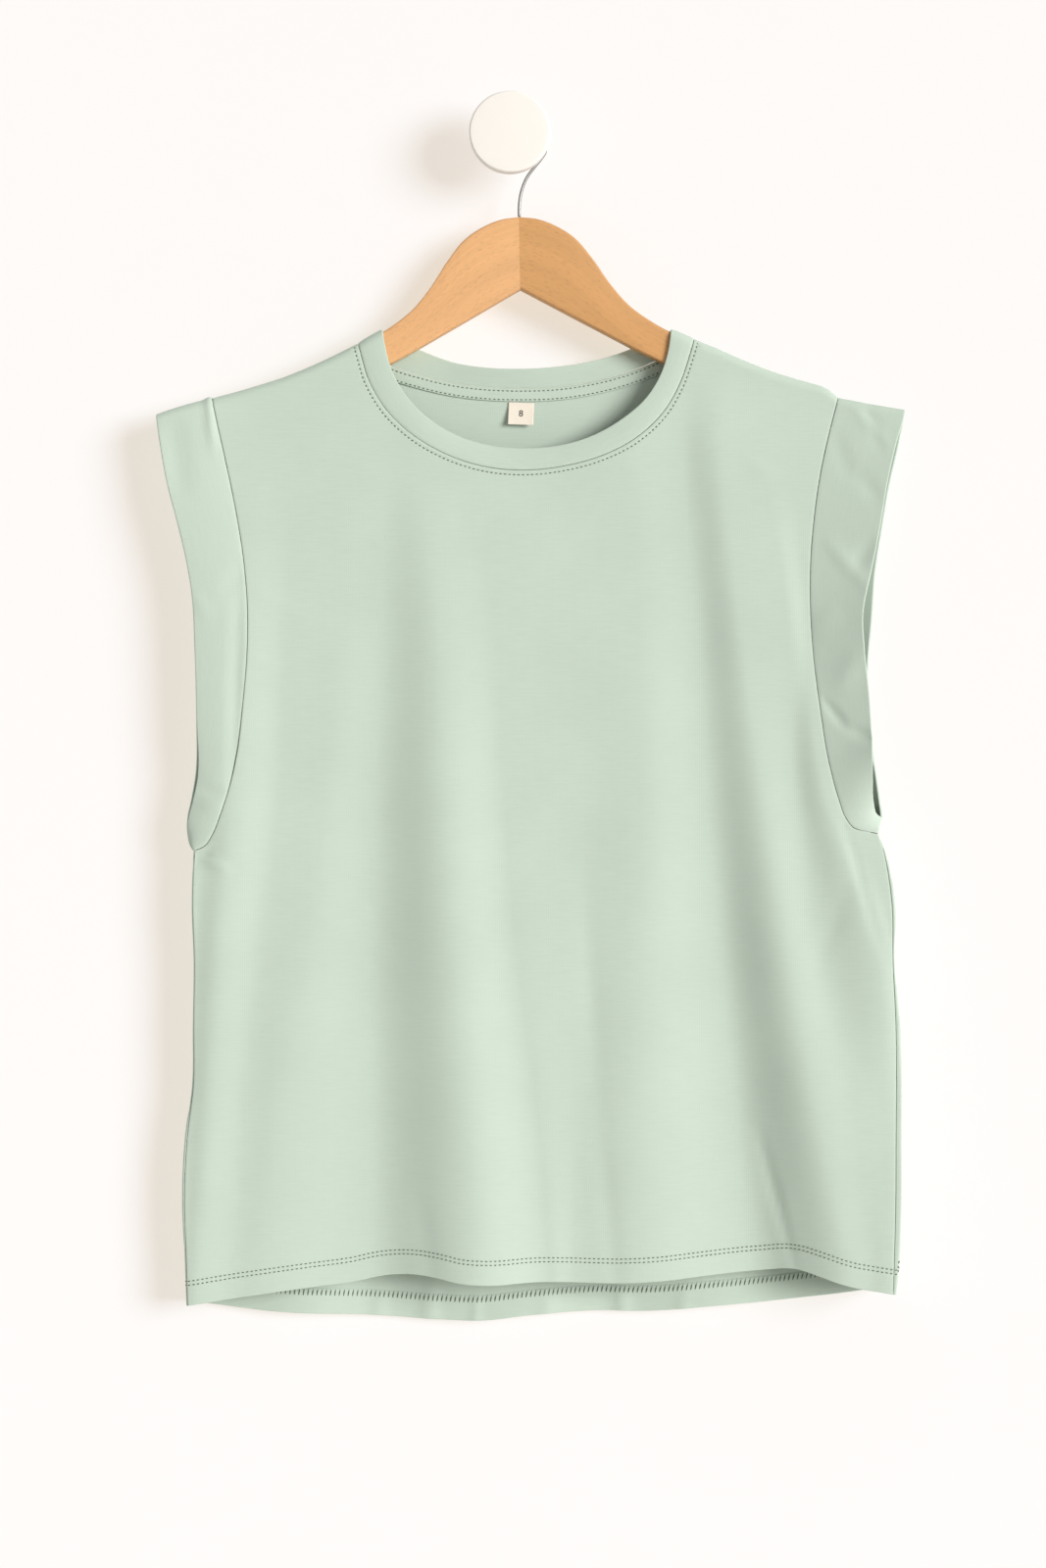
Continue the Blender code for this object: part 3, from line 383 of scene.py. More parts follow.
# Camera, backdrop and light
IMAGE_HEIGHT_PX = 1600
CAMERA_PLACE = (8.7, -2230, -430.7)
CAMERA_FOCUS_PX = 2200 * 1600 / 1040
WALL_Y = 0.6
WALL_HALF_WIDTH = 2200
WALL_TOP = 1800
# The wall glows in this colour: painted light that lifts the shadows cast on the wall and tints them warm,
# and that also reaches the garment as its bounce light
WALL_PAINTED_LIGHT_COLOUR = "D4C9B9"
FLOOR_Z = -1300.0
FLOOR_HALF_SIZE = (4000, 5000)
WORLD_COLOUR = (1.0, 0.99, 0.95, 1)
WORLD_STRENGTH = 0.362
KEY_FROM = (2.2, -2.0, 0.5)
KEY_SPREAD = math.radians(28)
KEY_STRENGTH = 3.27
KEY_COLOUR = (1.0, 0.985, 0.965)
BACK_FROM = (-1.7, 1.9, 0.8)
BACK_SPREAD = math.radians(40)
BACK_STRENGTH = 0.85

# Creases too fine for the CAD's tables: start X and Z, end X and Z, half width, height (troughs below zero)
CREASES = {
    "front": (
        (163, -655, 194, -772, 3.0, -1.3),
        (174, -700, 200, -800, 5.0, 0.6),
        (48, -480, 60, -660, 8.0, -0.5),
        (58, -640, 74, -800, 7.0, -0.6),
        (246, -466, 214, -430, 4.0, -0.9),
        (219, -452, 247, -548, 2.6, -1.1),
        (228, -486, 200, -560, 7.0, -0.5),
        (-197, -478, -214, -480, 3.5, -1.1),
        (-184, -488, -206, -480, 2.6, 1.3),
        (-62, -690, -46, -800, 7.0, -0.5),
        (-178, -345, -150, -352, 4.0, 0.35),
        (-174, -300, -120, -330, 9.0, 0.35),
        (150, -210, 178, -232, 6.0, 0.4),
    ),
    "back": (
        (-150, -250, -120, -420, 9.0, -1.0),
        (150, -240, 128, -430, 9.0, -1.0),
        (-40, -600, -34, -800, 9.0, -0.9),
        (96, -560, 104, -800, 11.0, 0.9),
        (214, -480, 176, -560, 7.0, -0.9),
        (-204, -486, -170, -560, 7.0, -0.9),
        (-86, -758, -90, -824, 5.0, -1.4),
        (-52, -752, -56, -828, 6.0, -1.9),
        (-22, -766, -24, -820, 4.0, -1.1),
        (26, -760, 22, -826, 7.0, -1.6),
        (74, -756, 78, -824, 6.0, -2.0),
        (118, -760, 112, -822, 5.0, -1.2),
    ),
}
BAND_CREASES = {
    "left": {
        "front": (
            (-201.5, -160, -196, -214, 2.6, 1.5),
            (-224, -186, -217, -244, 8.0, -1.2),
            (-179, -280, -184, -470, 4.5, -1.1),
            (-176, -290, -192, -306, 4.0, -0.7),
            (-212, -302, -198, -322, 5.0, 0.6),
            (-208, -433, -188, -437, 2.6, -0.9),
            (-205, -444, -188, -446, 4.0, 0.5),
        ),
        "back": (
            (-212, -240, -190, -262, 6.0, -0.8),
            (-206, -380, -184, -398, 6.0, -0.8),
        ),
    },
    "right": {
        "front": (
            (206, -374, 224, -396, 2.8, -1.6),
            (222, -394, 243, -403, 2.8, -1.4),
            (240, -268, 226, -292, 5.0, -1.0),
            (199, -330, 218, -316, 7.0, 0.7),
            (228, -222, 246, -246, 5.0, -0.8),
            (214, -196, 226, -232, 5.0, -0.7),
            (232, -340, 216, -372, 7.0, 0.9),
            (226, -180, 251, -207, 2.8, 0.9),
            (236, -176, 246, -214, 3.2, -0.8),
            (208, -268, 240, -304, 4.5, 1.1),
        ),
        "back": (
            (246, -230, 222, -262, 6.0, -0.8),
            (240, -370, 216, -398, 6.0, -0.8),
        ),
    },
}

# Curves and easing

def ease(levels, values, at):
    """Smooth cubic through a value for each level, level beyond both ends; levels may fall or rise."""
    levels = np.asarray(levels, float)
    values = np.asarray(values, float)
    order = np.argsort(levels)
    levels = levels[order]
    values = values[order]
    slope = np.gradient(values, levels)
    at = np.clip(at, levels[0], levels[-1])
    i = np.clip(np.searchsorted(levels, at, side="right") - 1, 0, len(levels) - 2)
    span = levels[i + 1] - levels[i]
    f = (at - levels[i]) / span
    start = (2 * f ** 3 - 3 * f ** 2 + 1) * values[i] + (f ** 3 - 2 * f ** 2 + f) * span * slope[i]
    end = (3 * f ** 2 - 2 * f ** 3) * values[i + 1] + (f ** 3 - f ** 2) * span * slope[i + 1]
    return start + end


def run_of(points):
    """Length along a run of points up to each of them."""
    return np.concatenate([[0], np.cumsum(np.linalg.norm(np.diff(points, axis=0), axis=1))])


def points_at(points, run, at):
    """Values between a run's own points at given lengths along it."""
    return np.stack([np.interp(at, run, points[:, i]) for i in range(points.shape[1])], axis=1)


def smooth_curve(points):
    """Dense smooth curve through the points, even in length."""
    points = np.asarray(points, float)
    run = run_of(points)
    at = np.linspace(0, run[-1], CURVE_SAMPLES)
    return np.stack([ease(run, points[:, i], at) for i in range(points.shape[1])], axis=1)


def at_fraction(curve, fractions):
    """Points of a dense curve at fractions of its length."""
    run = run_of(curve)
    return points_at(curve, run, np.asarray(fractions) * run[-1])


def smooth_step(f):
    f = np.clip(f, 0, 1)
    return f * f * (3 - 2 * f)


def round_over(f, power=2.0):
    """Rises from 0 with an upright start to 1 at f = 1, as a quarter of a rounded corner does."""
    f = np.clip(f, 0, 1)
    return (1 - (1 - f) ** power) ** (1 / power)


def unit(vectors):
    return vectors / np.linalg.norm(vectors, axis=-1, keepdims=True)


# The hanging surfaces

def turned_with_hanger(points):
    """From the hanger's own X and Z to the hung frame."""
    points = np.asarray(points, float)
    cos, sin = math.cos(HANGER_TILT), math.sin(HANGER_TILT)
    x = HANGER_CENTRE[0] + points[:, 0] * cos - points[:, 1] * sin
    z = HANGER_CENTRE[1] + points[:, 0] * sin + points[:, 1] * cos
    return np.stack([x, z], axis=1)


def hanger_top_line():
    """The hanger's whole top edge, carried straight on past both ends."""
    half = smooth_curve(HANGER_TOP)
    straight_on = (half[-1] - half[-TOP_LINE_END_SAMPLES]) * TOP_LINE_REACH
    half = np.concatenate([half, [half[-1] + straight_on]])
    mirrored = half[::-1] * (-1, 1)
    return turned_with_hanger(np.concatenate([mirrored[:-1], half]))


TOP_LINE = hanger_top_line()


def shoulder_line(x):
    """Height of the cloth's outside where it crosses the hanger's top edge."""
    lift = np.interp(x, *np.transpose(SHOULDER_LIFT))
    return np.interp(x, TOP_LINE[:, 0], TOP_LINE[:, 1]) + lift + HANGER_GAP + CLOTH_WALL


def fold_height(folds, x, z):
    """Level along each fold line, easing by half a cosine wave between neighbouring lines."""
    lines = [ease(FOLD_LEVELS, fold[0], z) for fold in folds]
    heights = [ease(FOLD_LEVELS, fold[1], z) for fold in folds]
    height = np.where(x <= lines[0], heights[0], heights[-1])
    for i in range(len(folds) - 1):
        f = (x - lines[i]) / (lines[i + 1] - lines[i])
        wave = 0.5 - 0.5 * np.cos(np.pi * np.clip(f, 0, 1))
        here = (f > 0) & (f <= 1)
        height = np.where(here, heights[i] + (heights[i + 1] - heights[i]) * wave, height)
    return height


def side_lines(z):
    """Silhouette of the body at the left and right, opening outward above the underarms."""
    table = np.array(SIDES)
    lines = []
    for side, column in SIDE_COLUMN.items():
        flare = FLARE_ABOVE_UNDERARM * np.maximum(z - UNDERARM_Z[side], 0)
        lines.append(ease(table[:, 0], table[:, column], z) + OUTWARD[side] * flare)
    return lines


def panel_surface(x, z, face):
    """Points of a panel's outside from its flat X and Z.

    The back panel's flat outline runs past the silhouette, and what runs past it turns forward round
    the side to meet the front panel at the side seam.
    """
    drop = shoulder_line(x) - z
    roll = ROLL[face] * round_over(drop / ROLL_HEIGHT, ROLL_POWER)
    spread = FOLDS_FULL_BELOW_SHOULDER - FOLDS_START_BELOW_SHOULDER
    shown = smooth_step((drop - FOLDS_START_BELOW_SHOULDER) / spread)
    own = HANGER_Y + FACING[face] * (SEAM_GAP / 2 + roll + shown * fold_height(FOLDS[face], x, z))
    left, right = side_lines(z)
    inside = np.minimum(x - left, right - x)
    other = HANGER_Y - FACING[face] * (ROLL["front"] + fold_height(FOLDS["front"], x, z))
    flat = np.where(inside >= 0, own, other)
    depth = SIDE_DEPTH + (flat - SIDE_DEPTH) * round_over(np.abs(inside) / SIDE_ROLL)
    folded_x = np.where(inside >= 0, x, np.where(x < left, 2 * left - x, 2 * right - x))
    return np.stack([folded_x, depth, z], axis=-1)


def panel_normals(x, z, face):
    """Outward unit normals of a panel from small steps across its surface."""
    across = panel_surface(x + NORMAL_STEP, z, face) - panel_surface(x - NORMAL_STEP, z, face)
    down = panel_surface(x, z - NORMAL_STEP, face) - panel_surface(x, z + NORMAL_STEP, face)
    return unit(-FACING[face] * np.cross(down, across))


# Finer stations

def refined(values, step, scale=1.0, gaps=None):
    """The values with more set evenly between neighbours, none further than step apart once scaled.

    Also gives each one's place in the table. gaps are other spacings of the same columns, which count
    where they are wider.
    """
    values = np.asarray(values, float)
    wide = np.diff(values) * scale
    wide = wide if gaps is None else np.maximum(wide, gaps)
    counts = np.maximum(np.ceil(wide / step - COUNT_TOLERANCE), 1).astype(int)
    place = np.concatenate([[0.0], *[i + np.arange(1, n + 1) / n for i, n in enumerate(counts)]])
    return np.interp(place, np.arange(len(values)), values), place


def armhole_rows():
    """Shares of the armhole's length, from the shoulder to the underarm."""
    table = np.sort(np.concatenate([ROWS_ARMHOLE, ROWS_NEAR_TOP, ROWS_NEAR_UNDERARM]))
    return refined(table, PANEL_STEP)[0] / ROWS_ARMHOLE[-1]


def body_rows():
    """Shares of the side seam's height, from below the underarm to the hem."""
    length = ROWS_SIDE[-1]
    table = np.sort(np.concatenate([[0], ROWS_SIDE, length - np.array(HEM_DISTANCES)]))
    return refined(table, PANEL_STEP)[0][1:] / length


def neck_stations():
    """Shares of the neckline's length and, for the hem below it, even shares of the same columns."""
    gaps = np.full(len(COLUMNS_NECK) - 1, HEM_INTERVAL_AT_NECK)
    half, place = refined(COLUMNS_NECK, PANEL_STEP, gaps=gaps)
    half = half / (2 * COLUMNS_NECK[-1])
    place = place / (2 * (len(COLUMNS_NECK) - 1))
    return [np.concatenate([shares, 1 - shares[-2::-1]]) for shares in (half, place)]


def shoulder_stations(side):
    """Shares of a shoulder's width, the left one from its tip and the right one from the neck."""
    left = side == "left"
    near = np.array(COLUMNS_NEAR_EDGE)
    near, end = (near, 1.0) if left else (1 - near, 0.0)
    table = np.unique(np.concatenate([COLUMNS_SHOULDER[side], near, [end]]))
    width = abs(NECK_POINT[side] - SHOULDER_TIP[side])
    shares = refined(table, PANEL_STEP, width * SHOULDER_SLANT)[0]
    return shares[:-1] if left else shares[1:]


def neck_columns():
    """First and last of the panel grid's columns that run down from the neckline."""
    first = len(shoulder_stations("left"))
    return first, first + len(neck_stations()[0]) - 1


# Panel outlines

def side_seam_point(z, side, face):
    """Flat X and Z of the side seam: in from the silhouette for the front, past it for the back."""
    table = np.array(SIDES)
    line, inset = (ease(table[:, 0], table[:, SIDE_COLUMN[side] + i], z) for i in (0, 1))
    return np.stack([line + FACING[face] * OUTWARD[side] * inset, z + 0 * line], axis=-1)


def side_rows(side, face):
    """Armhole and side seam as one list of points, a row of the panel's grid for each."""
    tip, start = SHOULDER_TIP[side], UNDERARM_Z[side]
    top = (tip, float(shoulder_line(tip)))
    armhole = smooth_curve([top, *ARMHOLE[side], side_seam_point(start, side, face)])
    lower = side_seam_point(start + (HEM_Z[side] - start) * body_rows(), side, face)
    return np.concatenate([at_fraction(armhole, armhole_rows()), lower])


def neck_curve(tops, rows):
    """A curve through the rows, from and to the shoulder line at the X of each top."""
    left, right = ((x, float(shoulder_line(x))) for x in tops.values())
    return smooth_curve([left, *rows, right])


def top_columns(face):
    """Left shoulder, neckline and right shoulder, a column of the panel's grid for each point."""
    starts = {"left": SHOULDER_TIP["left"], "right": NECK_POINT["right"]}
    ends = {"left": NECK_POINT["left"], "right": SHOULDER_TIP["right"]}
    left, right = (starts[side] + (ends[side] - starts[side]) * shoulder_stations(side) for side in starts)
    neck = at_fraction(neck_curve(NECK_POINT, NECK_SEAM[face]), neck_stations()[0])
    left, right = (np.stack([x, shoulder_line(x)], axis=1) for x in (left, right))
    return np.concatenate([left, neck, right])


def hem_fractions():
    """Shares of the hem's length below the same columns."""
    left = shoulder_stations("left") * HEM_SHARE_LEFT
    neck = HEM_SHARE_LEFT + HEM_SHARE_NECK * neck_stations()[1]
    share = 1 - HEM_SHARE_LEFT - HEM_SHARE_NECK
    right = 1 - share + share * shoulder_stations("right")
    return np.concatenate([left, neck, right])


def flat_grid(face):
    """The panel's flat X and Z.

    Each row spans the two sides, and takes the shape of the neck and shoulders at the top, of the hem at
    the bottom, and of neither at the underarm. There both ends turn up to meet the level end of the
    armhole, and near the neck points the columns lean away from the steep neckline.
    """
    left, right = (side_rows(side, face) for side in ("left", "right"))
    top = top_columns(face)
    u = hem_fractions()
    bottom = at_fraction(smooth_curve([left[-1], *HEM[face], right[-1]]), u)
    run = run_of(left)
    underarm = run[len(armhole_rows()) - 1]
    from_top = np.clip(1 - run / underarm, 0, 1)[:, None, None]
    from_hem = np.clip((run - underarm) / (run[-1] - underarm), 0, 1)[:, None, None]
    u = u[None, :, None]
    sides = (1 - u) * left[:, None] + u * right[:, None]
    top_shape, hem_shape = (line - ((1 - u[0]) * line[0] + u[0] * line[-1]) for line in (top, bottom))
    grid = sides + from_top * top_shape + from_hem * hem_shape
    dip = UNDERARM_DIP * smooth_step(1 - np.abs(run - underarm) / UNDERARM_DIP_REACH)[:, None]
    for side in (0, -1):
        dip = dip * (1 - np.exp(-np.abs(grid[..., 0] - grid[:, side, 0][:, None]) / UNDERARM_DIP_WIDTH))
    grid[..., 1] -= dip
    along = run_of(top)
    lean = NECK_SPREAD * (1 - np.exp(-run / NECK_SPREAD_DEPTH)) * from_top[:, 0, 0]
    for column, outward in zip(neck_columns(), OUTWARD.values()):
        near_neck = smooth_step(1 - np.abs(along - along[column]) / NECK_SPREAD_REACH)
        grid[..., 0] += outward * lean[:, None] * near_neck[None]
    return grid


# Cloth walls

def square_to_seam(points, normals, toward):
    """Unit directions in the cloth, square to a seam and pointing toward a neighbouring line."""
    side = unit(np.cross(normals, np.gradient(points, axis=0)))
    facing = np.sign(np.sum(side * (toward - points), axis=1, keepdims=True))
    return side * facing


def point_numbers(rows, columns, wraps):
    """Numbers of a grid's points; wraps repeats the first column after the last."""
    index = np.arange(rows * columns).reshape(rows, columns)
    return np.concatenate([index, index[:, :1]], axis=1) if wraps else index


def grid_faces(index):
    """Four-cornered faces between neighbouring points of a grid of point numbers."""
    return np.stack([index[:-1, :-1], index[:-1, 1:], index[1:, 1:], index[1:, :-1]], axis=-1).reshape(-1, 4)


def wall_faces(rows, columns, wraps):
    """Faces of a closed wall between two matching grids, outer first; wraps joins the columns' ends."""
    index = point_numbers(rows, columns, wraps)
    below = rows * columns
    quad = grid_faces(index)
    edges = [index[0], index[-1][::-1]]
    if not wraps:
        edges += [index[::-1, 0], index[:, -1]]
    rims = [np.stack([edge[1:], edge[:-1], edge[:-1] + below, edge[1:] + below], axis=-1) for edge in edges]
    return np.concatenate([quad, quad[:, ::-1] + below, *rims])


def add_object(name, data):
    """A new object at the origin, linked to the scene."""
    obj = bpy.data.objects.new(name, data)
    bpy.context.scene.collection.objects.link(obj)
    return obj


def mesh_object(name, points, faces, material, flat=None, turn_over=False, sharp_above=None):
    """One object at the origin from points in millimetres and arrays of faces, one for each corner count.

    flat gives each point's place on the cut cloth in millimetres and becomes the UV map, in metres. A
    face that crosses the join of a ring keeps its own width there.
    """
    points = np.asarray(points, float).reshape(-1, 3) * MM
    groups = [np.asarray(group, np.int32) for group in (faces if isinstance(faces, list) else [faces])]
    groups = [group[:, ::-1] for group in groups] if turn_over else groups
    sizes = np.concatenate([np.full(len(group), group.shape[1]) for group in groups])
    corners = np.concatenate([group.ravel() for group in groups])
    mesh = bpy.data.meshes.new(name)
    mesh.vertices.add(len(points))
    mesh.vertices.foreach_set("co", points.astype(np.float32).ravel())
    mesh.loops.add(len(corners))
    mesh.loops.foreach_set("vertex_index", corners)
    mesh.polygons.add(len(sizes))
    mesh.polygons.foreach_set("loop_start", (np.cumsum(sizes) - sizes).astype(np.int32))
    if flat is not None:
        flat = np.asarray(flat, float).reshape(-1, 2) * MM
        placed = flat[groups[0]]
        width = flat[:, 0].max() - flat[:, 0].min()
        crossing = np.ptp(placed[..., 0], axis=1) > width / 2
        low = placed[..., 0] < flat[:, 0].min() + width / 2
        placed[..., 0] += np.where(crossing[:, None] & low, width, 0)
        layer = mesh.uv_layers.new(name="UVMap")
        layer.data.foreach_set("uv", placed.astype(np.float32).ravel())
    mesh.update(calc_edges=True)
    mesh.validate()
    mesh.shade_smooth()
    if sharp_above is not None:
        mesh.set_sharp_from_angle(angle=sharp_above)
    mesh.materials.append(material)
    return add_object(name, mesh)


def facing_out(points, faces):
    """True if the faces of a closed shape point outward: the sum of corner volumes is then above zero."""
    a, b, c, d = (points[faces[:, i]] for i in range(4))
    volume = np.sum(a * np.cross(b, c)) + np.sum(a * np.cross(c, d))
    return volume > 0


def closed_wall(name, outer, inner, flat, material, wraps=False):
    """A closed cloth wall from its outer and inner grids, with the cut's own flat places as its UV map."""
    points = np.concatenate([outer.reshape(-1, 3), inner.reshape(-1, 3)])
    faces = wall_faces(outer.shape[0], outer.shape[1], wraps)
    flat = np.concatenate([flat.reshape(-1, 2)] * 2)
    return mesh_object(name, points, faces, material, flat, turn_over=not facing_out(points, faces))


def edge_distance(points):
    """Distance of every grid point from each edge, square to it: the run along the grid line times the
    sine of the angle at which that line leaves the edge."""
    distances = {}
    for edge in ("top", "hem", "left", "right"):
        sideways, backward = edge in ("left", "right"), edge in ("hem", "right")
        grid = np.swapaxes(points, 0, 1) if sideways else points
        grid = grid[::-1] if backward else grid
        steps = np.linalg.norm(np.diff(grid, axis=0), axis=-1)
        run = np.concatenate([np.zeros((1, grid.shape[1])), np.cumsum(steps, axis=0)])
        tangent = unit(np.gradient(grid[0], axis=0))
        leaving = unit(grid[ROWS_TO_LEAVE_EDGE] - grid[0])
        away = run * np.clip(np.linalg.norm(np.cross(tangent, leaving), axis=-1), LEAST_LEAVING_SINE, 1)
        away = away[::-1] if backward else away
        distances[edge] = np.swapaxes(away, 0, 1) if sideways else away
    return distances


def line_at(distance, target, points, normals):
    """Points and normals where each column passes the target distance from its first row."""
    past = np.maximum(np.argmax(distance >= target, axis=0), 1)
    column = np.arange(distance.shape[1])
    low, high = distance[past - 1, column], distance[past, column]
    f = ((target - low) / (high - low))[:, None]
    place, normal = (grid[past - 1, column] * (1 - f) + grid[past, column] * f for grid in (points, normals))
    return place, unit(normal)


def crease_height(x, z, creases):
    """Soft ridges and troughs: each is a straight line whose height falls off as a bell curve to its
    sides and as half a sine wave towards its two ends."""
    height = np.zeros_like(x)
    for x0, z0, x1, z1, half_width, peak in creases:
        length = math.hypot(x1 - x0, z1 - z0)
        along = ((x - x0) * (x1 - x0) + (z - z0) * (z1 - z0)) / length ** 2
        aside = ((x - x0) * (z1 - z0) - (z - z0) * (x1 - x0)) / length
        taper = np.sin(np.pi * np.clip(along, 0, 1)) ** CREASE_TAPER
        height += peak * taper * np.exp(-(aside / half_width) ** 2)
    return height


def fold_round(distance, radius):
    """How far a face turns in by a folded edge: a quarter circle of that radius."""
    f = np.clip(distance / radius, 0, 1)
    return radius * (1 - np.sqrt(1 - (1 - f) ** 2))


def groove(distance, rows, depth=GROOVE):
    """Shallow troughs along stitch rows, each a bell curve across."""
    return sum(-depth * np.exp(-((distance - row) / GROOVE_WIDTH) ** 2) for row in rows)


def cloth_panel(name, face, material):
    """A front or back panel as a closed wall, and what is sewn to it.

    The outside is panel_surface() on a fine grid, moved along its normals by the seam dips, the stitch
    grooves and the creases. The inside lies one wall further in, two where the hem is turned up.
    """
    flat = flat_grid(face)
    x, z = flat[..., 0], flat[..., 1]
    outer = panel_surface(x, z, face)
    normals = panel_normals(x, z, face)
    away = edge_distance(outer)
    edges = {
        "top": (np.s_[0, :], np.s_[1, :]),
        "hem": (np.s_[-1, :], np.s_[-2, :]),
        "left": (np.s_[:, 0], np.s_[:, 1]),
        "right": (np.s_[:, -1], np.s_[:, -2]),
    }
    seams = {}
    for edge, (here, beside) in edges.items():
        inward = square_to_seam(outer[here], normals[here], outer[beside])
        seams[edge] = {"points": outer[here].copy(), "normals": normals[here].copy(), "inward": inward}
    for edge, (here, _) in edges.items():
        outer[here] += seams[edge]["inward"] * SEAM_GAP / 2
    seam_away = np.minimum(np.minimum(away["top"], away["left"]), away["right"])
    first, last = neck_columns()
    column = np.arange(x.shape[1])
    by_neck = (column >= first) & (column <= last)
    relief = -SEAM_DIP * np.exp(-(seam_away / SEAM_DIP_WIDTH) ** 2)
    relief += groove(away["hem"], HEM_STITCH_ROWS)
    relief += np.where(by_neck[None], groove(away["top"], NECK_STITCH_ROWS[face]), 0)
    relief += crease_height(x, z, CREASES[face])
    turn_in = fold_round(away["hem"], CLOTH_WALL / 2)
    outside = outer + normals * (relief - turn_in)[..., None]
    doubled = HEM_TURNED_WALL * smooth_step((HEM_DEPTH - away["hem"]) / HEM_TURNED_EDGE)
    inward = relief * RELIEF_INSIDE - CLOTH_WALL - doubled + turn_in * HEM_TURN_INSIDE
    inside = outer + normals * inward[..., None]
    closed_wall(name, outside, inside, flat, material)
    neck = np.s_[first:last + 1]
    return seams, {"outside": outside, "inside": inside, "normals": normals, "away": away, "neck": neck}


def joined(front, back):
    """One closed run from a front and a back one that share their two ends."""
    ends = [(front[i] + back[i]) / 2 for i in (0, -1)]
    return np.concatenate([[ends[0]], front[1:-1], [ends[1]], back[-2:0:-1]])


def joined_seam(edge, first, last):
    """The seam points of both panels' same edge as one closed run, from a first to a last one."""
    front, back = (SEWN[face][edge] for face in ("front", "back"))
    ring = {key: joined(front[key][first:last + 1], back[key][first:last + 1]) for key in front}
    return {key: values if key == "points" else unit(values) for key, values in ring.items()}


def sewn_ring(name, seam, edge, material, bulge, sunk_width, creases=(), fronts=0):
    """A folded strip sewn to a closed seam, from the seam points to its own folded edge.

    Straight across from seam to edge, then moved along the normals: down at the seam, up by a flat arch
    of the given height, by the creases, and round at the folded edge. Gives its length and width too.
    """
    start = seam["points"] - seam["inward"] * RING_SEAM_GAP
    shares = np.array(RING_SHARES)[:, None]
    s = shares[..., None]
    ruled = start[None] * (1 - s) + edge[None] * s
    along = np.roll(ruled, -1, axis=1) - np.roll(ruled, 1, axis=1)
    normals = unit(np.cross(along, np.gradient(ruled, axis=0)))
    normals = normals * np.sign(np.sum(normals[0] * seam["normals"]))
    blend = np.clip(s / RING_SEAM_BLEND, 0, 1)
    normals = unit(seam["normals"][None] * (1 - blend) + normals * blend)
    width = np.linalg.norm(edge - start, axis=-1)[None]
    across = shares * width
    arch = bulge * np.sin(np.pi * shares) ** RING_ARCH_POWER
    seam_dip = SEAM_DIP * np.exp(-(across / SEAM_DIP_WIDTH) ** 2) + RING_SUNK * np.exp(-across / sunk_width)
    turn_in = fold_round(width - across, BAND_FOLD_RADIUS)
    crease = np.zeros_like(across)
    on_front = np.arange(across.shape[1]) < fronts
    for face, rows in creases:
        here = on_front if face == "front" else ~on_front
        crease += crease_height(ruled[..., 0], ruled[..., 2], rows) * here
    lift = arch - seam_dip + crease
    outside = ruled + normals * (lift + FOLDED_WALL - CLOTH_WALL - turn_in)[..., None]
    inside = ruled + normals * (crease - arch * RING_ARCH_INSIDE - CLOTH_WALL + turn_in)[..., None]
    middle = (start + edge) / 2
    lengths = np.linalg.norm(np.roll(middle, -1, axis=0) - middle, axis=1)
    length = np.concatenate([[0], np.cumsum(lengths)[:-1]])
    flat = np.stack([np.broadcast_to(length[None], across.shape), across], axis=-1)
    obj = closed_wall(name, outside, inside, flat, material, wraps=True)
    return obj, float(lengths.sum()), float(width.max())


def neckband(name, material, puff):
    """The band round the neck, leaning a little into the opening."""
    fractions = neck_stations()[0]
    halves = []
    for face in ("front", "back"):
        flat = at_fraction(neck_curve(NECK_EDGE_TOP, NECK_EDGE[face]), fractions)
        points = panel_surface(flat[:, 0], flat[:, 1], face)
        points[:, 1] -= FACING[face] * NECK_EDGE_LEAN[face] * np.sin(np.pi * fractions) ** 2
        halves.append(points)
    seam = joined_seam("top", *neck_columns())
    return sewn_ring(name, seam, joined(*halves), material, puff, RING_SUNK_WIDTH["neckband"])


def band_edge(side, face, fractions):
    """The sleeve band's folded edge, open between front and back and closed at both ends. The whole edge
    stands forward of the hanger's plane, by the table's share along it."""
    curve = smooth_curve([BAND_TOP[side], *BAND_EDGE[side][face]])
    flat = at_fraction(curve, fractions)
    run = fractions * run_of(curve)[-1]
    wider = (BAND_MID_HALF_GAP - BAND_TOP_HALF_GAP) * np.sin(np.pi * fractions) ** BAND_GAP_POWER
    gap = (BAND_TOP_HALF_GAP + wider) * round_over(run / BAND_TOP_ROLL)
    gap = gap * round_over((run[-1] - run) / BAND_UNDERARM_ROLL)
    along, reach = np.transpose(BAND_FORWARD[side])
    depth = HANGER_Y - ease(along, reach, fractions) + FACING[face] * gap
    return np.stack([flat[:, 0], depth, flat[:, 1]], axis=1)


def sleeve_band(name, side, material, puff):
    """The folded band round one armhole."""
    fractions = armhole_rows()
    fronts = len(fractions)
    edge = joined(*(band_edge(side, face, fractions) for face in ("front", "back")))
    return sewn_ring(name, joined_seam(side, 0, fronts - 1), edge, material, puff, RING_SUNK_WIDTH[side],
                     BAND_CREASES[side].items(), fronts)


def inside_back(x, z, off):
    """Points off the inside of the back panel, measured square to it."""
    return panel_surface(x, z, "back") - panel_normals(x, z, "back") * (CLOTH_WALL + off)[..., None]


def tape_flat(across):
    """Flat X and Z of the tape at distances below the back neck seam, on even stations along it."""
    curve = neck_curve(NECK_POINT, NECK_SEAM["back"])
    middle = at_fraction(curve, np.linspace(*TAPE_ENDS, TAPE_STATIONS))
    along = unit(np.gradient(middle, axis=0))
    down = np.stack([along[:, 1], -along[:, 0]], axis=1)
    return middle[None] + down[None] * across[:, None, None], run_of(middle)


def thin_strip(name, x, z, lift, wall, away, edge_radius, place, material, sunk=0.0):
    """A thin strip on the back's inside: its lift off the cloth, and its edges rounded by their distance."""
    turn_in = np.minimum(fold_round(away, edge_radius), wall * MOST_TURN_IN)
    outer = inside_back(x, z, lift + turn_in)
    inner = inside_back(x, z, lift + wall - turn_in - sunk)
    return closed_wall(name, outer, inner, place, material)


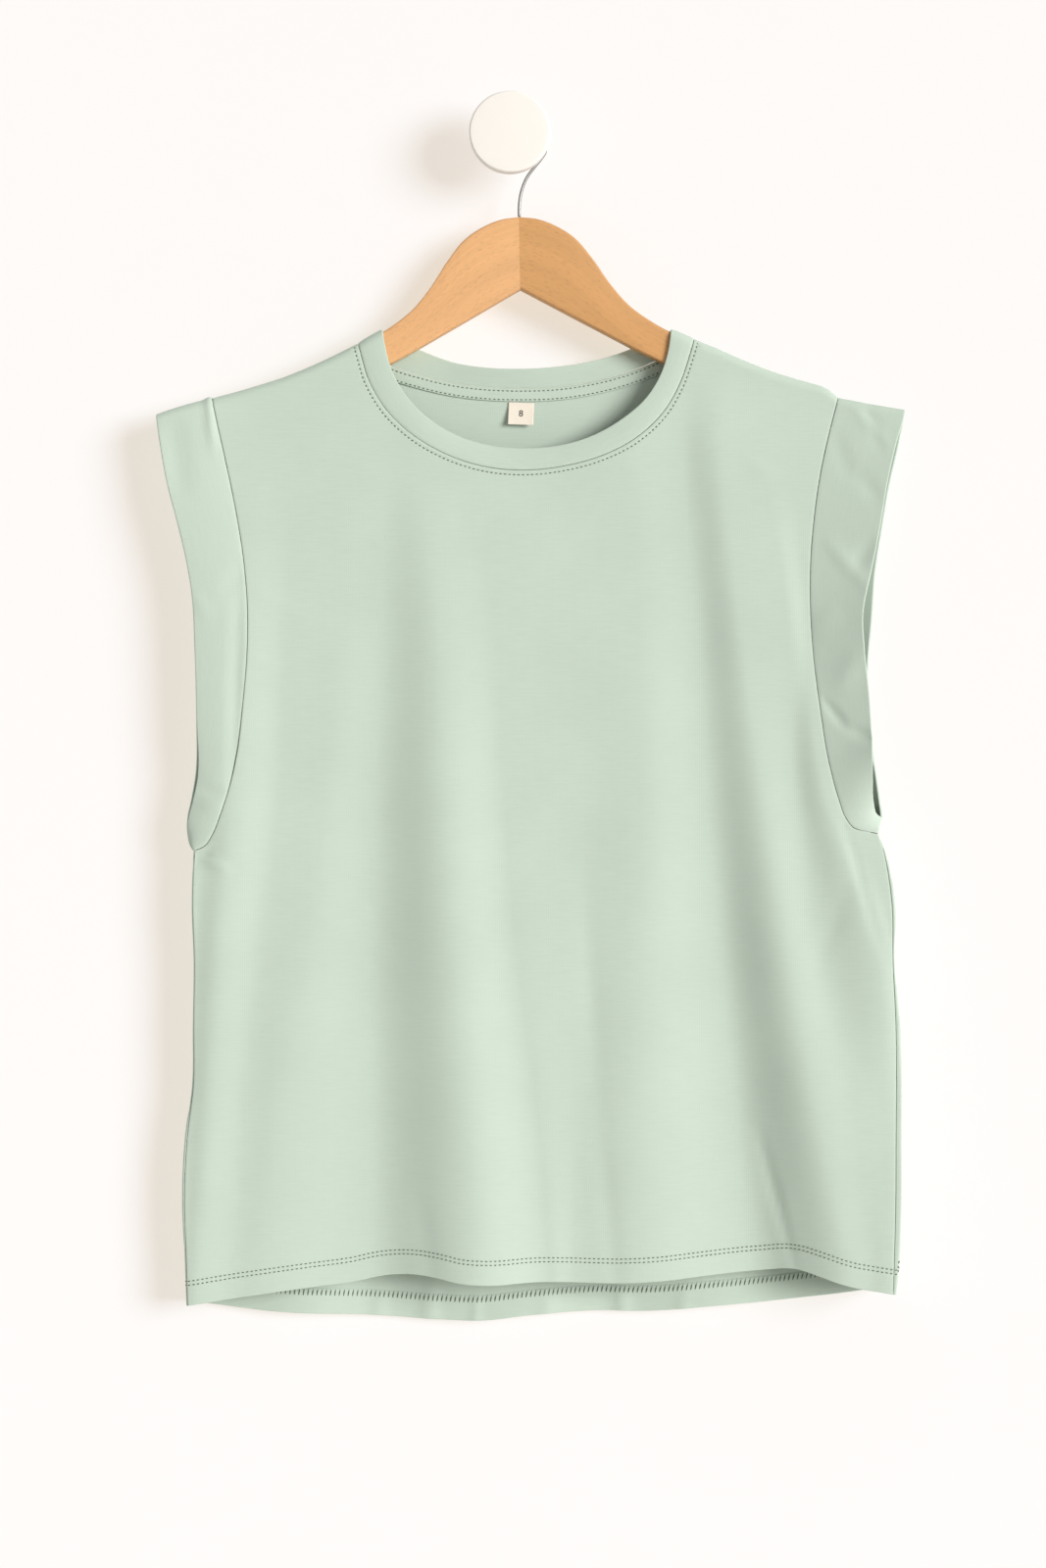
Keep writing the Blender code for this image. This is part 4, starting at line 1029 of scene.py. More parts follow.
def back_neck_tape(name, material):
    """Narrow tape over the back neck seam, inside, with a trough along each of its stitch rows."""
    across = TAPE_TOP + TAPE_WIDTH * np.array(TAPE_SHARES)
    flat, along = tape_flat(across)
    away = np.minimum(across - across[0], across[-1] - across)[:, None]
    away = np.minimum(away, np.minimum(along, along[-1] - along)[None])
    sunk = -groove(across, NECK_STITCH_ROWS["back"], TAPE_GROOVE)[:, None]
    place = np.stack(np.broadcast_arrays(along[None], across[:, None]), axis=-1)
    x, z = flat[..., 0], flat[..., 1]
    return thin_strip(name, x, z, SEAM_GAP, TAPE_WALL, away, TAPE_EDGE_RADIUS, place, material, sunk)


def label_flat(across, down):
    """Flat X and Z of the label's points from their own places on it."""
    curve = neck_curve(NECK_POINT, NECK_SEAM["back"])
    seam_z = float(np.interp(LABEL_CENTRE_X, curve[:, 0], curve[:, 1]))
    top = seam_z - TAPE_TOP - TAPE_WIDTH - 2 * SEAM_GAP
    cos, sin = math.cos(LABEL_TURN), math.sin(LABEL_TURN)
    return LABEL_CENTRE_X + across * cos + down * sin, top - down * cos + across * sin


def label_lift(across, down):
    """How far the label stands off the back: sewn along its top, free and curled forward at its foot."""
    share = np.clip(down / LABEL_HEIGHT, 0, 1)
    corners = LABEL_CORNER_CURL * (2 * across / LABEL_WIDTH) ** 4
    return LABEL_CURL * share ** LABEL_CURL_POWER + corners * share


def size_label(name, material):
    """Small woven label on the inside of the back panel, sewn only along its top."""
    shares = np.array(LABEL_SHARES)
    across, down = np.meshgrid((shares - 0.5) * LABEL_WIDTH, shares * LABEL_HEIGHT)
    away = np.minimum(LABEL_WIDTH / 2 - np.abs(across), np.minimum(down, LABEL_HEIGHT - down))
    x, z = label_flat(across, down)
    place = np.stack([across, down], axis=-1)
    lift = SEAM_GAP + label_lift(across, down)
    return thin_strip(name, x, z, lift, LABEL_WALL, away, LABEL_EDGE_RADIUS, place, material)


# Sewing

def stitches(name, starts, ends, normals, radius, material):
    """Thread stitches as one mesh: each a thin round bar from start to end, arched so that its middle
    stands off the cloth and its two ends go into it."""
    shares = np.array(STITCH_SHARES)
    thickness = np.array(STITCH_THICKNESS) * radius
    height = radius * (4 * shares * (1 - shares) * STITCH_RISE - STITCH_SINK)
    angles = np.linspace(0, 2 * np.pi, STITCH_SIDES, endpoint=False)
    along = unit(ends - starts)
    side = unit(np.cross(along, normals))
    up = np.cross(side, along)
    centre = starts[:, None] * (1 - shares[None, :, None]) + ends[:, None] * shares[None, :, None]
    centre = centre + up[:, None] * height[None, :, None]
    round_it = side[:, None, None] * np.cos(angles)[None, None, :, None]
    round_it = round_it + up[:, None, None] * np.sin(angles)[None, None, :, None]
    points = (centre[:, :, None] + round_it * thickness[None, :, None, None]).reshape(-1, 3)
    sides = grid_faces(point_numbers(len(shares), STITCH_SIDES, True))
    cap = np.array(((0, 1, 2, 3), (0, 3, 4, 5)))
    one = np.concatenate([sides, cap[:, ::-1], cap + len(angles) * (len(shares) - 1)])
    faces = (one[None] + (np.arange(len(starts)) * len(shares) * STITCH_SIDES)[:, None, None]).reshape(-1, 4)
    return mesh_object(name, points, faces, material, turn_over=not facing_out(points, faces))


def running_stitches(lines, pitch, length):
    """Starts, ends and normals of stitches laid end to end along lines of points and normals."""
    found = []
    for points, normals in lines:
        run = run_of(points)
        count = int(run[-1] // pitch)
        begin = (np.arange(count) + FIRST_STITCH) * run[-1] / count
        found += [points_at(points, run, begin), points_at(points, run, begin + length),
                  unit(points_at(normals, run, begin))]
    return tuple(np.concatenate(found[i::3]) for i in range(3))


def zigzag_stitches(lower, upper, normals, pitch):
    """Slanting stitches side by side from a lower line to an upper one."""
    run = run_of(lower)
    at = np.arange(FIRST_ZIGZAG, run[-1] / pitch - 1) * pitch
    upper_at = at + ZIGZAG_LEAN * pitch
    return points_at(lower, run, at), points_at(upper, run, upper_at), unit(points_at(normals, run, at))


def label_number(name, text, height, material):
    """A plain number on the label, cut from Blender's own font and laid on the label's face."""
    curve = bpy.data.curves.new(name + "_text", "FONT")
    curve.body = text
    curve.align_x = curve.align_y = "CENTER"
    curve.extrude = 0.02
    curve.offset = NUMBER_BOLDNESS
    curve.resolution_u = 4
    source = add_object(name + "_text", curve)
    bpy.context.view_layer.update()
    mesh = bpy.data.meshes.new_from_object(source.evaluated_get(bpy.context.evaluated_depsgraph_get()))
    bpy.data.objects.remove(source)
    points = np.zeros(len(mesh.vertices) * 3)
    mesh.vertices.foreach_get("co", points)
    points = points.reshape(-1, 3)
    size = height / np.ptp(points[:, 1])
    across, down = points[:, 0] * size, LABEL_HEIGHT * 0.5 - points[:, 1] * size
    ink = np.where(points[:, 2] > 0, *INK_FACES)
    placed = inside_back(*label_flat(across, down), SEAM_GAP + LABEL_WALL + label_lift(across, down) + ink)
    mesh.vertices.foreach_set("co", (placed * MM).astype(np.float32).ravel())
    mesh.update()
    mesh.materials.clear()
    mesh.materials.append(material)
    return add_object(name, mesh)


# Hanger, hook and knob

def swept(name, rings, material, sharp_above=SHARP_ABOVE):
    """Closed body through matching rings of points, with one flat face at each end."""
    index = point_numbers(*rings.shape[:2], True)
    quad = grid_faces(index)
    caps = np.stack([index[0, :-1][::-1], index[-1, :-1]])
    points = rings.reshape(-1, 3)
    turn_over = not facing_out(points, quad)
    return mesh_object(name, points, [quad, caps], material, turn_over=turn_over, sharp_above=sharp_above)


def rounded_section(half_height, half_thickness):
    """Rounded rectangle across a hanger arm: offsets along its height and its thickness."""
    radius = min(HANGER_EDGE_RADIUS, half_height * MOST_ROUND, half_thickness * MOST_ROUND)
    quarter = np.repeat(np.arange(4), HANGER_EDGE_STEPS)
    angle = np.radians(90 - 90 * quarter - np.tile(np.linspace(0, 90, HANGER_EDGE_STEPS), 4))
    up = np.array((1, -1, -1, 1))[quarter] * (half_height - radius) + radius * np.sin(angle)
    out = np.array((1, 1, -1, -1))[quarter] * (half_thickness - radius) + radius * np.cos(angle)
    return np.stack([up, out], axis=1)


def hanger_half(name, side, material):
    """One half of the hanger: rounded sections along the arm from the centre joint to the rounded end.

    A point attribute holds each point's place along, up and through the board, so that the grain
    follows the arm.
    """
    shares = np.linspace(0, 1, HANGER_STATIONS)
    tops = at_fraction(smooth_curve(HANGER_TOP), shares)
    bottoms = at_fraction(smooth_curve(HANGER_BOTTOM), shares)
    tops[0, 0] = bottoms[0, 0] = HANGER_JOINT_GAP / 2
    middle, half = (tops + bottoms) / 2, (tops - bottoms) / 2
    outward = unit(np.array([half[-1, 1], -half[-1, 0]]))
    angles = np.radians(HANGER_END_ANGLES)
    shrink = np.cos(angles)
    middle = np.concatenate([middle, middle[-1] + outward * HANGER_END_LENGTH * np.sin(angles)[:, None]])
    half = np.concatenate([half, half[-1] * shrink[:, None]])
    thinner = HANGER_END_FLAT + (1 - HANGER_END_FLAT) * shrink
    thickness = np.concatenate([np.ones(len(shares)), thinner]) * HANGER_THICKNESS / 2
    reach = run_of(middle)
    rings, grain = [], []
    for place, arm, depth, along in zip(middle, half, thickness, reach):
        height = float(np.linalg.norm(arm))
        offsets = rounded_section(height, depth)
        flat = turned_with_hanger((place[None] + offsets[:, :1] * arm[None] / height) * (side, 1))
        rings.append(np.stack([flat[:, 0], HANGER_Y + offsets[:, 1], flat[:, 1]], axis=1))
        grain.append(np.stack([np.full(len(offsets), along * side), offsets[:, 0], offsets[:, 1]], axis=1))
    obj = swept(name, np.array(rings), material)
    attribute = obj.data.attributes.new("grain", "FLOAT_VECTOR", "POINT")
    attribute.data.foreach_set("vector", (np.concatenate(grain) * MM).astype(np.float32).ravel())
    return obj


def hanger_hook(name, radius, material):
    """Round wire: circles square to the route, shrunk to a dome at both ends."""
    angles = np.radians(np.linspace(HOOK_ARC_START, HOOK_ARC_END, HOOK_ARC_POINTS))
    arc = np.stack([HOOK_ARC_CENTRE[0] + HOOK_ARC_RADIUS * np.cos(angles),
                    HOOK_ARC_CENTRE[1] + HOOK_ARC_RADIUS * np.sin(angles)], axis=1)
    path = at_fraction(smooth_curve(np.concatenate([HOOK_STEM, arc])), np.linspace(0, 1, HOOK_STATIONS))
    tangent = unit(np.gradient(path, axis=0))
    dome = np.radians(HOOK_DOME_ANGLES)
    start = path[0] + tangent[0] * radius * (1 - np.sin(dome))[:, None]
    end = (path[-1] - tangent[-1] * radius * (1 - np.sin(dome))[:, None])[::-1]
    inner = slice(2, -2)
    centre = np.concatenate([start, path[inner], end])
    first, last = (np.repeat(tangent[[i]], len(dome), 0) for i in (0, -1))
    along = np.concatenate([first, tangent[inner], last])
    size = np.concatenate([np.cos(dome), np.ones(len(path) - 4), np.cos(dome)[::-1]]) * radius
    turn = np.linspace(0, 2 * np.pi, HOOK_SIDES, endpoint=False)
    across = np.stack([-along[:, 1], along[:, 0]], axis=1)
    flat = centre[:, None] + across[:, None] * (size[:, None] * np.cos(turn))[..., None]
    depth = HANGER_Y + size[:, None] * np.sin(turn)
    return swept(name, np.stack([flat[..., 0], depth, flat[..., 1]], axis=-1), material)


def turned(name, profile, material):
    """A profile of radius and distance from the wall, turned round the knob's axis."""
    angles = np.linspace(0, 2 * np.pi, KNOB_SIDES, endpoint=False)
    r, y = profile[:, :1], profile[:, 1:]
    rings = np.stack([r * np.cos(angles), -y + 0 * angles[None], r * np.sin(angles)], axis=-1)
    return swept(name, rings, material, sharp_above=KNOB_SHARP_ABOVE)


def wall_knob(name, material):
    """Turned knob: a shaft out of the wall and a thick disc with rounded edges and a slight crown."""
    quarter = np.radians(np.linspace(0, 90, KNOB_EDGE_STEPS))
    back = np.stack([KNOB_RADIUS - KNOB_BACK_EDGE * (1 - np.sin(quarter)),
                     KNOB_SHAFT_LENGTH + KNOB_BACK_EDGE * (1 - np.cos(quarter))], axis=1)
    front = np.stack([KNOB_RADIUS - KNOB_FRONT_EDGE * (1 - np.cos(quarter)),
                      KNOB_DEPTH - KNOB_CROWN - KNOB_FRONT_EDGE * (1 - np.sin(quarter))], axis=1)
    inward = np.linspace(KNOB_RADIUS - KNOB_FRONT_EDGE, KNOB_FACE_CENTRE, KNOB_EDGE_STEPS)[1:]
    share = inward / (KNOB_RADIUS - KNOB_FRONT_EDGE)
    crown = np.stack([inward, KNOB_DEPTH - KNOB_CROWN * share ** 2], axis=1)
    shaft = [(KNOB_SHAFT_RADIUS, 0.0)]
    shaft += [(KNOB_SHAFT_RADIUS + wider, KNOB_SHAFT_LENGTH - before) for wider, before in KNOB_FLARE]
    return turned(name, np.concatenate([shaft, back, front, crown]), material)


# Materials

def linear(colour):
    """Linear red, green and blue of an sRGB hex value."""
    parts = [int(colour[i:i + 2], 16) / 255 for i in (0, 2, 4)]
    return [c / 12.92 if c <= 0.04045 else ((c + 0.055) / 1.055) ** 2.4 for c in parts]


def add_node(tree, kind, inputs=(), **settings):
    """A node with its settings; inputs pairs a socket with a value, or with the socket that feeds it."""
    made = tree.nodes.new(kind)
    for name, value in settings.items():
        setattr(made, name, value)
    for socket, value in dict(inputs).items():
        if isinstance(value, bpy.types.NodeSocket):
            tree.links.new(value, made.inputs[socket])
        else:
            made.inputs[socket].default_value = value
    return made


def new_material(name, **sockets):
    """A material with one Principled shader and the values of its own sockets."""
    made = bpy.data.materials.new(name)
    made.use_nodes = True
    shader = made.node_tree.nodes["Principled BSDF"]
    for socket, value in sockets.items():
        shader.inputs[socket.replace("_", " ")].default_value = value
    return made, made.node_tree, shader


def shade(colour, factor):
    return [min(c * factor, 1.0) for c in colour[:3]] + [1.0]


def cotton_jersey(name, colour, knit):
    """Cotton jersey, knitted fine and brushed soft: matt, with a faint bloom at grazing angles, faint
    darker and paler courses that run across the cloth, and rows of tiny loops."""
    made, tree, shader = new_material(name, Roughness=0.92, Sheen_Weight=0.12, Sheen_Roughness=0.55,
                                      Specular_IOR_Level=0.22, Sheen_Tint=shade(colour, 1.3))
    place = add_node(tree, "ShaderNodeUVMap", uv_map="UVMap").outputs["UV"]
    # A course is 0.5 mm high on the real cloth; streaks of uneven yarn are drawn 1.5 mm high to show
    courses = add_node(tree, "ShaderNodeMapping", {"Vector": place, "Scale": (70, 760, 1)})
    streaks = add_node(tree, "ShaderNodeTexNoise", {"Vector": courses.outputs[0], "Scale": 1.0, "Detail": 3.0,
                                                    "Roughness": 0.6})
    cloud = add_node(tree, "ShaderNodeTexNoise", {"Vector": place, "Scale": 14.0, "Detail": 2.0})
    both = add_node(tree, "ShaderNodeMath", {0: streaks.outputs["Fac"], 1: cloud.outputs["Fac"]},
                    operation="ADD")
    spread = add_node(tree, "ShaderNodeMapRange", {"Value": both.outputs[0], "From Min": 0.7,
                                                   "From Max": 1.3})
    tones = add_node(tree, "ShaderNodeMix", {"Factor": spread.outputs[0], 6: shade(colour, 0.968),
                                             7: shade(colour, 1.03)}, data_type="RGBA")
    tree.links.new(tones.outputs[2], shader.inputs["Base Color"])
    # Wales are 0.6 mm apart on the real cloth and drawn twice that
    loops = add_node(tree, "ShaderNodeMapping", {"Vector": place, "Scale": (knit, knit * 0.8, 1)})
    wales = add_node(tree, "ShaderNodeTexWave", {"Vector": loops.outputs[0], "Scale": 0.314,
                                                 "Distortion": 1.2, "Detail": 1.0, "Detail Scale": 2.0},
                     bands_direction="X")
    fuzz = add_node(tree, "ShaderNodeTexNoise", {"Vector": loops.outputs[0], "Scale": 1.4, "Detail": 2.0})
    relief = wales.outputs["Fac"]
    for pattern in (fuzz, streaks):
        relief = add_node(tree, "ShaderNodeMath", {0: relief, 1: pattern.outputs["Fac"]},
                          operation="ADD").outputs[0]
    bump = add_node(tree, "ShaderNodeBump", {"Height": relief, "Strength": 0.2, "Distance": 0.0001})
    tree.links.new(bump.outputs[0], shader.inputs["Normal"])
    return made


def sewing_thread(name, colour):
    """Polyester sewing thread, spun: a little glossier than the cloth, with a fine twist; its colour is set
    much darker than the cloth's, painted shade for the needle holes and grooves along the rows.
    """
    made, tree, shader = new_material(name, Roughness=0.6, Sheen_Weight=0.1)
    place = add_node(tree, "ShaderNodeTexCoord").outputs["Object"]
    # The twist is 0.4 mm long on the real thread and drawn 0.8 mm
    twist = add_node(tree, "ShaderNodeTexNoise", {"Vector": place, "Scale": 1200.0, "Detail": 1.0})
    tones = add_node(tree, "ShaderNodeMix", {"Factor": twist.outputs["Fac"], 6: shade(colour, 0.86),
                                             7: shade(colour, 1.1)}, data_type="RGBA")
    tree.links.new(tones.outputs[2], shader.inputs["Base Color"])
    bump = add_node(tree, "ShaderNodeBump", {"Height": twist.outputs["Fac"], "Strength": 0.3,
                                             "Distance": 0.0001})
    tree.links.new(bump.outputs[0], shader.inputs["Normal"])
    return made


def woven_label(name, colour):
    """Woven cotton tape: a plain weave of cream threads, drawn at its own 0.35 mm spacing."""
    made, tree, shader = new_material(name, Roughness=0.85, Sheen_Weight=0.1)
    place = add_node(tree, "ShaderNodeUVMap", uv_map="UVMap").outputs["UV"]
    threads = [add_node(tree, "ShaderNodeTexWave", {"Vector": place, "Scale": 900.0, "Distortion": 0.6},
                        bands_direction=direction) for direction in ("X", "Y")]
    weave = add_node(tree, "ShaderNodeMath", {0: threads[0].outputs["Fac"], 1: threads[1].outputs["Fac"]},
                     operation="MULTIPLY")
    tones = add_node(tree, "ShaderNodeMix", {"Factor": weave.outputs[0], 6: shade(colour, 0.95),
                                             7: shade(colour, 1.03)}, data_type="RGBA")
    tree.links.new(tones.outputs[2], shader.inputs["Base Color"])
    bump = add_node(tree, "ShaderNodeBump", {"Height": weave.outputs[0], "Strength": 0.3,
                                             "Distance": 0.0001})
    tree.links.new(bump.outputs[0], shader.inputs["Normal"])
    return made


def printing_ink(name, colour):
    """Black ink printed on tape: flat and matt, uneven where the threads take less of it."""
    made, tree, shader = new_material(name, Roughness=0.8)
    place = add_node(tree, "ShaderNodeTexCoord").outputs["Object"]
    patches = add_node(tree, "ShaderNodeTexNoise", {"Vector": place, "Scale": 2500.0})
    tones = add_node(tree, "ShaderNodeMix", {"Factor": patches.outputs["Fac"], 6: shade(colour, 0.7),
                                             7: shade(colour, 1.6)}, data_type="RGBA")
    tree.links.new(tones.outputs[2], shader.inputs["Base Color"])
    return made


def varnished_beech(name, colour, offset):
    """Beech under clear satin varnish: warm and even, with long soft grain along the arm and the short
    darker flecks that mark the wood."""
    made, tree, shader = new_material(name, Roughness=0.42, Coat_Weight=0.15, Coat_Roughness=0.3)
    place = add_node(tree, "ShaderNodeAttribute", attribute_name="grain").outputs["Vector"]
    # The scales and shifts of the long grain, of the broad bands and of the flecks, which are about
    # 5 mm long and 0.6 mm wide
    layout = (((7, 420, 420), (offset, 0, 0)), ((6, 50, 50), (offset, 3, 0)),
              ((150, 1050, 1050), (0, offset, 0)))
    along, broad, short = [add_node(tree, "ShaderNodeMapping", {"Vector": place, "Scale": scale,
                                                                "Location": shift}).outputs[0]
                           for scale, shift in layout]
    grain = add_node(tree, "ShaderNodeTexNoise", {"Vector": along, "Scale": 1.0, "Detail": 4.0,
                                                  "Roughness": 0.6, "Distortion": 0.3})
    bands = add_node(tree, "ShaderNodeTexNoise", {"Vector": broad, "Scale": 1.0, "Detail": 2.0})
    flecks = add_node(tree, "ShaderNodeTexVoronoi", {"Vector": short, "Scale": 1.0})
    tones = add_node(tree, "ShaderNodeMix", {"Factor": grain.outputs["Fac"], 6: shade(colour, 0.86),
                                             7: shade(colour, 1.1)}, data_type="RGBA")
    wood = tones.outputs[2]
    for pattern, from_min, from_max, to_min, to_max in ((bands.outputs["Fac"], 0.3, 0.7, 0.93, 1.06),
                                                        (flecks.outputs["Distance"], 0.16, 0.3, 0.8, 1.0)):
        darker = add_node(tree, "ShaderNodeMapRange", {"Value": pattern, "From Min": from_min,
                                                       "From Max": from_max, "To Min": to_min,
                                                       "To Max": to_max})
        wood = add_node(tree, "ShaderNodeVectorMath", {0: wood, "Scale": darker.outputs[0]},
                        operation="SCALE").outputs[0]
    tree.links.new(wood, shader.inputs["Base Color"])
    bump = add_node(tree, "ShaderNodeBump", {"Height": grain.outputs["Fac"], "Strength": 0.15,
                                             "Distance": 0.0002})
    tree.links.new(bump.outputs[0], shader.inputs["Normal"])
    return made


def zinc_plated_wire(name, colour):
    """Zinc-plated steel wire, drawn: bright grey metal with faint lines from the die."""
    made, tree, shader = new_material(name, Metallic=1.0)
    place = add_node(tree, "ShaderNodeTexCoord").outputs["Object"]
    lines = add_node(tree, "ShaderNodeTexNoise", {"Vector": place, "Scale": 700.0, "Detail": 2.0})
    rough = add_node(tree, "ShaderNodeMapRange", {"Value": lines.outputs["Fac"], "To Min": 0.4,
                                                  "To Max": 0.55})
    tree.links.new(rough.outputs[0], shader.inputs["Roughness"])
    tones = add_node(tree, "ShaderNodeMix", {"Factor": lines.outputs["Fac"], 6: shade(colour, 0.85),
                                             7: shade(colour, 1.05)}, data_type="RGBA")
    tree.links.new(tones.outputs[2], shader.inputs["Base Color"])
    return made


def painted(name, colour, roughness, texture, depth):
    """Matt white paint: almost even, with the low swells that a brush or roller leaves."""
    made, tree, shader = new_material(name, Roughness=roughness)
    place = add_node(tree, "ShaderNodeTexCoord").outputs["Object"]
    swell = add_node(tree, "ShaderNodeTexNoise", {"Vector": place, "Scale": texture, "Detail": 3.0})
    tones = add_node(tree, "ShaderNodeMix", {"Factor": swell.outputs["Fac"], 6: shade(colour, 0.985),
                                             7: shade(colour, 1.01)}, data_type="RGBA")
    tree.links.new(tones.outputs[2], shader.inputs["Base Color"])
    bump = add_node(tree, "ShaderNodeBump", {"Height": swell.outputs["Fac"], "Strength": 0.2,
                                             "Distance": depth})
    tree.links.new(bump.outputs[0], shader.inputs["Normal"])
    return made, tree, shader


# Stage

def flat_sheet(name, corners, material):
    mesh_object(name, corners, np.array([[0, 1, 2, 3]]), material)
    return bpy.data.objects[name]


def soft_light(name, come_from, spread, strength, colour=(1, 1, 1)):
    """An even light from one direction, as soft as a window that fills the angle spread."""
    data = bpy.data.lights.new(name, "SUN")
    data.angle = spread
    data.energy = strength
    data.color = colour
    obj = add_object(name, data)
    obj.location = Vector(come_from)
    obj.rotation_euler = Vector(come_from).to_track_quat("Z", "Y").to_euler()


def make_stage(wall_colour, floor_colour):
    """A pale wall that is seen only from the front, so that the back can be looked at, and that glows with
    painted light to lift and warm the shadows cast on it, a pale floor below the picture, one large soft
    key light from the right and a weaker one behind."""
    paint, tree, shader = painted("wall paint with painted light", wall_colour, roughness=0.9, texture=8.0, depth=0.002)
    side = add_node(tree, "ShaderNodeNewGeometry").outputs["Backfacing"]
    clear = add_node(tree, "ShaderNodeBsdfTransparent").outputs[0]
    # Painted light: the wall glows, which lightens the shadows on it and makes them warm
    shader.inputs["Emission Color"].default_value = linear(WALL_PAINTED_LIGHT_COLOUR) + [1.0]
    shader.inputs["Emission Strength"].default_value = 1.0
    mix = add_node(tree, "ShaderNodeMixShader", {0: side, 1: shader.outputs[0], 2: clear})
    tree.links.new(mix.outputs[0], tree.nodes["Material Output"].inputs["Surface"])
    square = ((-1, -1), (1, -1), (1, 1), (-1, 1))
    heights = {-1: FLOOR_Z, 1: WALL_TOP}
    wall = flat_sheet("wall", [(x * WALL_HALF_WIDTH, WALL_Y, heights[z]) for x, z in square], paint)
    for ray in ("glossy", "transmission", "shadow", "volume_scatter"):
        setattr(wall, "visible_" + ray, False)
    floor = painted("floor paint", floor_colour, roughness=0.7, texture=3.0, depth=0.002)[0]
    across, along = FLOOR_HALF_SIZE
    flat_sheet("floor", [(x * across, y * along, FLOOR_Z) for x, y in square], floor)
    soft_light("key light", KEY_FROM, KEY_SPREAD, KEY_STRENGTH, KEY_COLOUR)
    soft_light("back light", BACK_FROM, BACK_SPREAD, BACK_STRENGTH)
    world = bpy.data.worlds.new("studio")
    world.use_nodes = True
    sky = world.node_tree.nodes["Background"]
    sky.inputs["Color"].default_value = WORLD_COLOUR
    sky.inputs["Strength"].default_value = WORLD_STRENGTH
    bpy.context.scene.world = world
    bpy.context.scene.view_settings.view_transform = "Standard"


def stitch_lines():
    """Lines of points and normals for each group of running stitches."""
    found = {}
    for face in ("front", "back"):
        surface = SEWN[face + " surface"]
        outside, normals, away, neck = (surface[key] for key in ("outside", "normals", "away", "neck"))
        top = away["top"][:, neck]
        found["neck_stitches_" + face] = [line_at(top, row, outside[:, neck], normals[:, neck])
                                          for row in NECK_STITCH_ROWS[face]]
        found["hem_stitches_" + face] = [line_at(away["hem"][::-1], row, outside[::-1], normals[::-1])
                                         for row in HEM_STITCH_ROWS]
    flat = tape_flat(np.array(NECK_STITCH_ROWS["back"]))[0][:, 2:-2]
    x, z = flat[..., 0], flat[..., 1]
    points = inside_back(x, z, np.full(x.shape, SEAM_GAP + TAPE_WALL - TAPE_GROOVE))
    found["tape_stitches"] = list(zip(points, -panel_normals(x, z, "back")))
    return found


def zigzag_lines():
    """Lower line, upper line and normals of the zigzag that holds each turned-up hem inside."""
    found = {}
    for face in ("front", "back"):
        surface = SEWN[face + " surface"]
        grids = (surface["away"]["hem"], surface["inside"], surface["normals"])
        away, inside, normals = (grid[::-1] for grid in grids)
        lower, upper = (line_at(away, row, inside, -normals) for row in ZIGZAG_ROWS)
        found["hem_zigzag_" + face] = (lower[0], upper[0], upper[1])
    return found


def make_camera():
    """The photograph's viewpoint: square to the wall, 2.23 m in front of it, at the height of the chest."""
    data = bpy.data.cameras.new("camera")
    data.sensor_fit = "AUTO"
    data.sensor_width = 36
    data.lens = data.sensor_width * CAMERA_FOCUS_PX / IMAGE_HEIGHT_PX
    obj = add_object("camera", data)
    obj.location = Vector(CAMERA_PLACE) * MM
    obj.rotation_euler = (math.radians(90), 0, 0)
    bpy.context.scene.camera = obj


# What the user may change

def metres(name, description, value, low, high):
    return FloatProperty(name=name, description=description, default=value * MM, min=low * MM,
                         max=high * MM, subtype="DISTANCE", unit="LENGTH", precision=5)


def colour_of(name, description, value):
    return FloatVectorProperty(name=name, description=description, default=linear(value), size=3,
                               min=0, max=1, subtype="COLOR")


class TankTopSizes(bpy.types.PropertyGroup):
    """Sizes of the sewing, the cloth's surface and the wire."""
    stitch_pitch: metres("Stitch pitch", "From one topstitch to the next", STITCH_PITCH, 1.5, 6)
    stitch_length: metres("Stitch length", "Thread that shows in one topstitch", STITCH_LENGTH, 1, 5)
    thread_radius: metres("Thread radius", "Half the thickness of the sewing thread", STITCH_RADIUS, 0.1, 0.6)
    band_puff: metres("Sleeve band puff", "How far a sleeve band stands up between its edges", 0.7, 0, 3)
    neck_puff: metres("Neckband puff", "How far the neckband stands up between its edges", 0.35, 0, 2)
    wire_radius: metres("Hook wire radius", "Half the thickness of the hook's wire", 1.05, 0.8, 2)
    number_height: metres("Number height", "Height of the number on the label", 4.4, 1, 8)
    label_number: IntProperty(
        name="Label number", description="Plain size number on the label", default=8, min=1, max=99)
    knit_scale: FloatProperty(
        name="Knit scale", description="Columns of loops in a metre of cloth", default=830.0,
        min=200, max=3000)


class TankTopColours(bpy.types.PropertyGroup):
    """Colours of the cloth, the thread, the wood, the metal and the paint."""
    jersey: colour_of("Jersey", "Sage cotton jersey", "BFCEC1")
    # The thread is coloured much darker than the cloth: painted shade for the needle holes and grooves along
    # the stitch rows
    thread: colour_of("Thread", "Sewing thread", "5E6B5A")
    label: colour_of("Label", "Cream woven tape", "F0E7D8")
    ink: colour_of("Ink", "Number on the label", "2A2A28")
    beech_left: colour_of("Beech, left half", "The paler board", "E8B27C")
    beech_right: colour_of("Beech, right half", "The darker board", "D29D65")
    wire: colour_of("Wire", "Zinc-plated hook", "A4A4A2")
    knob: colour_of("Knob", "White paint of the knob", "F2EEE8")
    # The wall's own paint is a darker, bluer grey; the painted-light glow brings it up to near white and
    # makes the shadows on it warm
    wall: colour_of("Wall", "Backdrop", "929BAC")
    floor: colour_of("Floor", "Floor of the studio", "E6E3DF")


# Pieces

SEWN = {}


def finish(obj, slot, *nodes):
    """Every piece rides on the one body, and the CAD nodes that it stands for are hidden; slot is not used.
    """
    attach(obj, "root")
    if nodes:
        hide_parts(*nodes)
    return obj


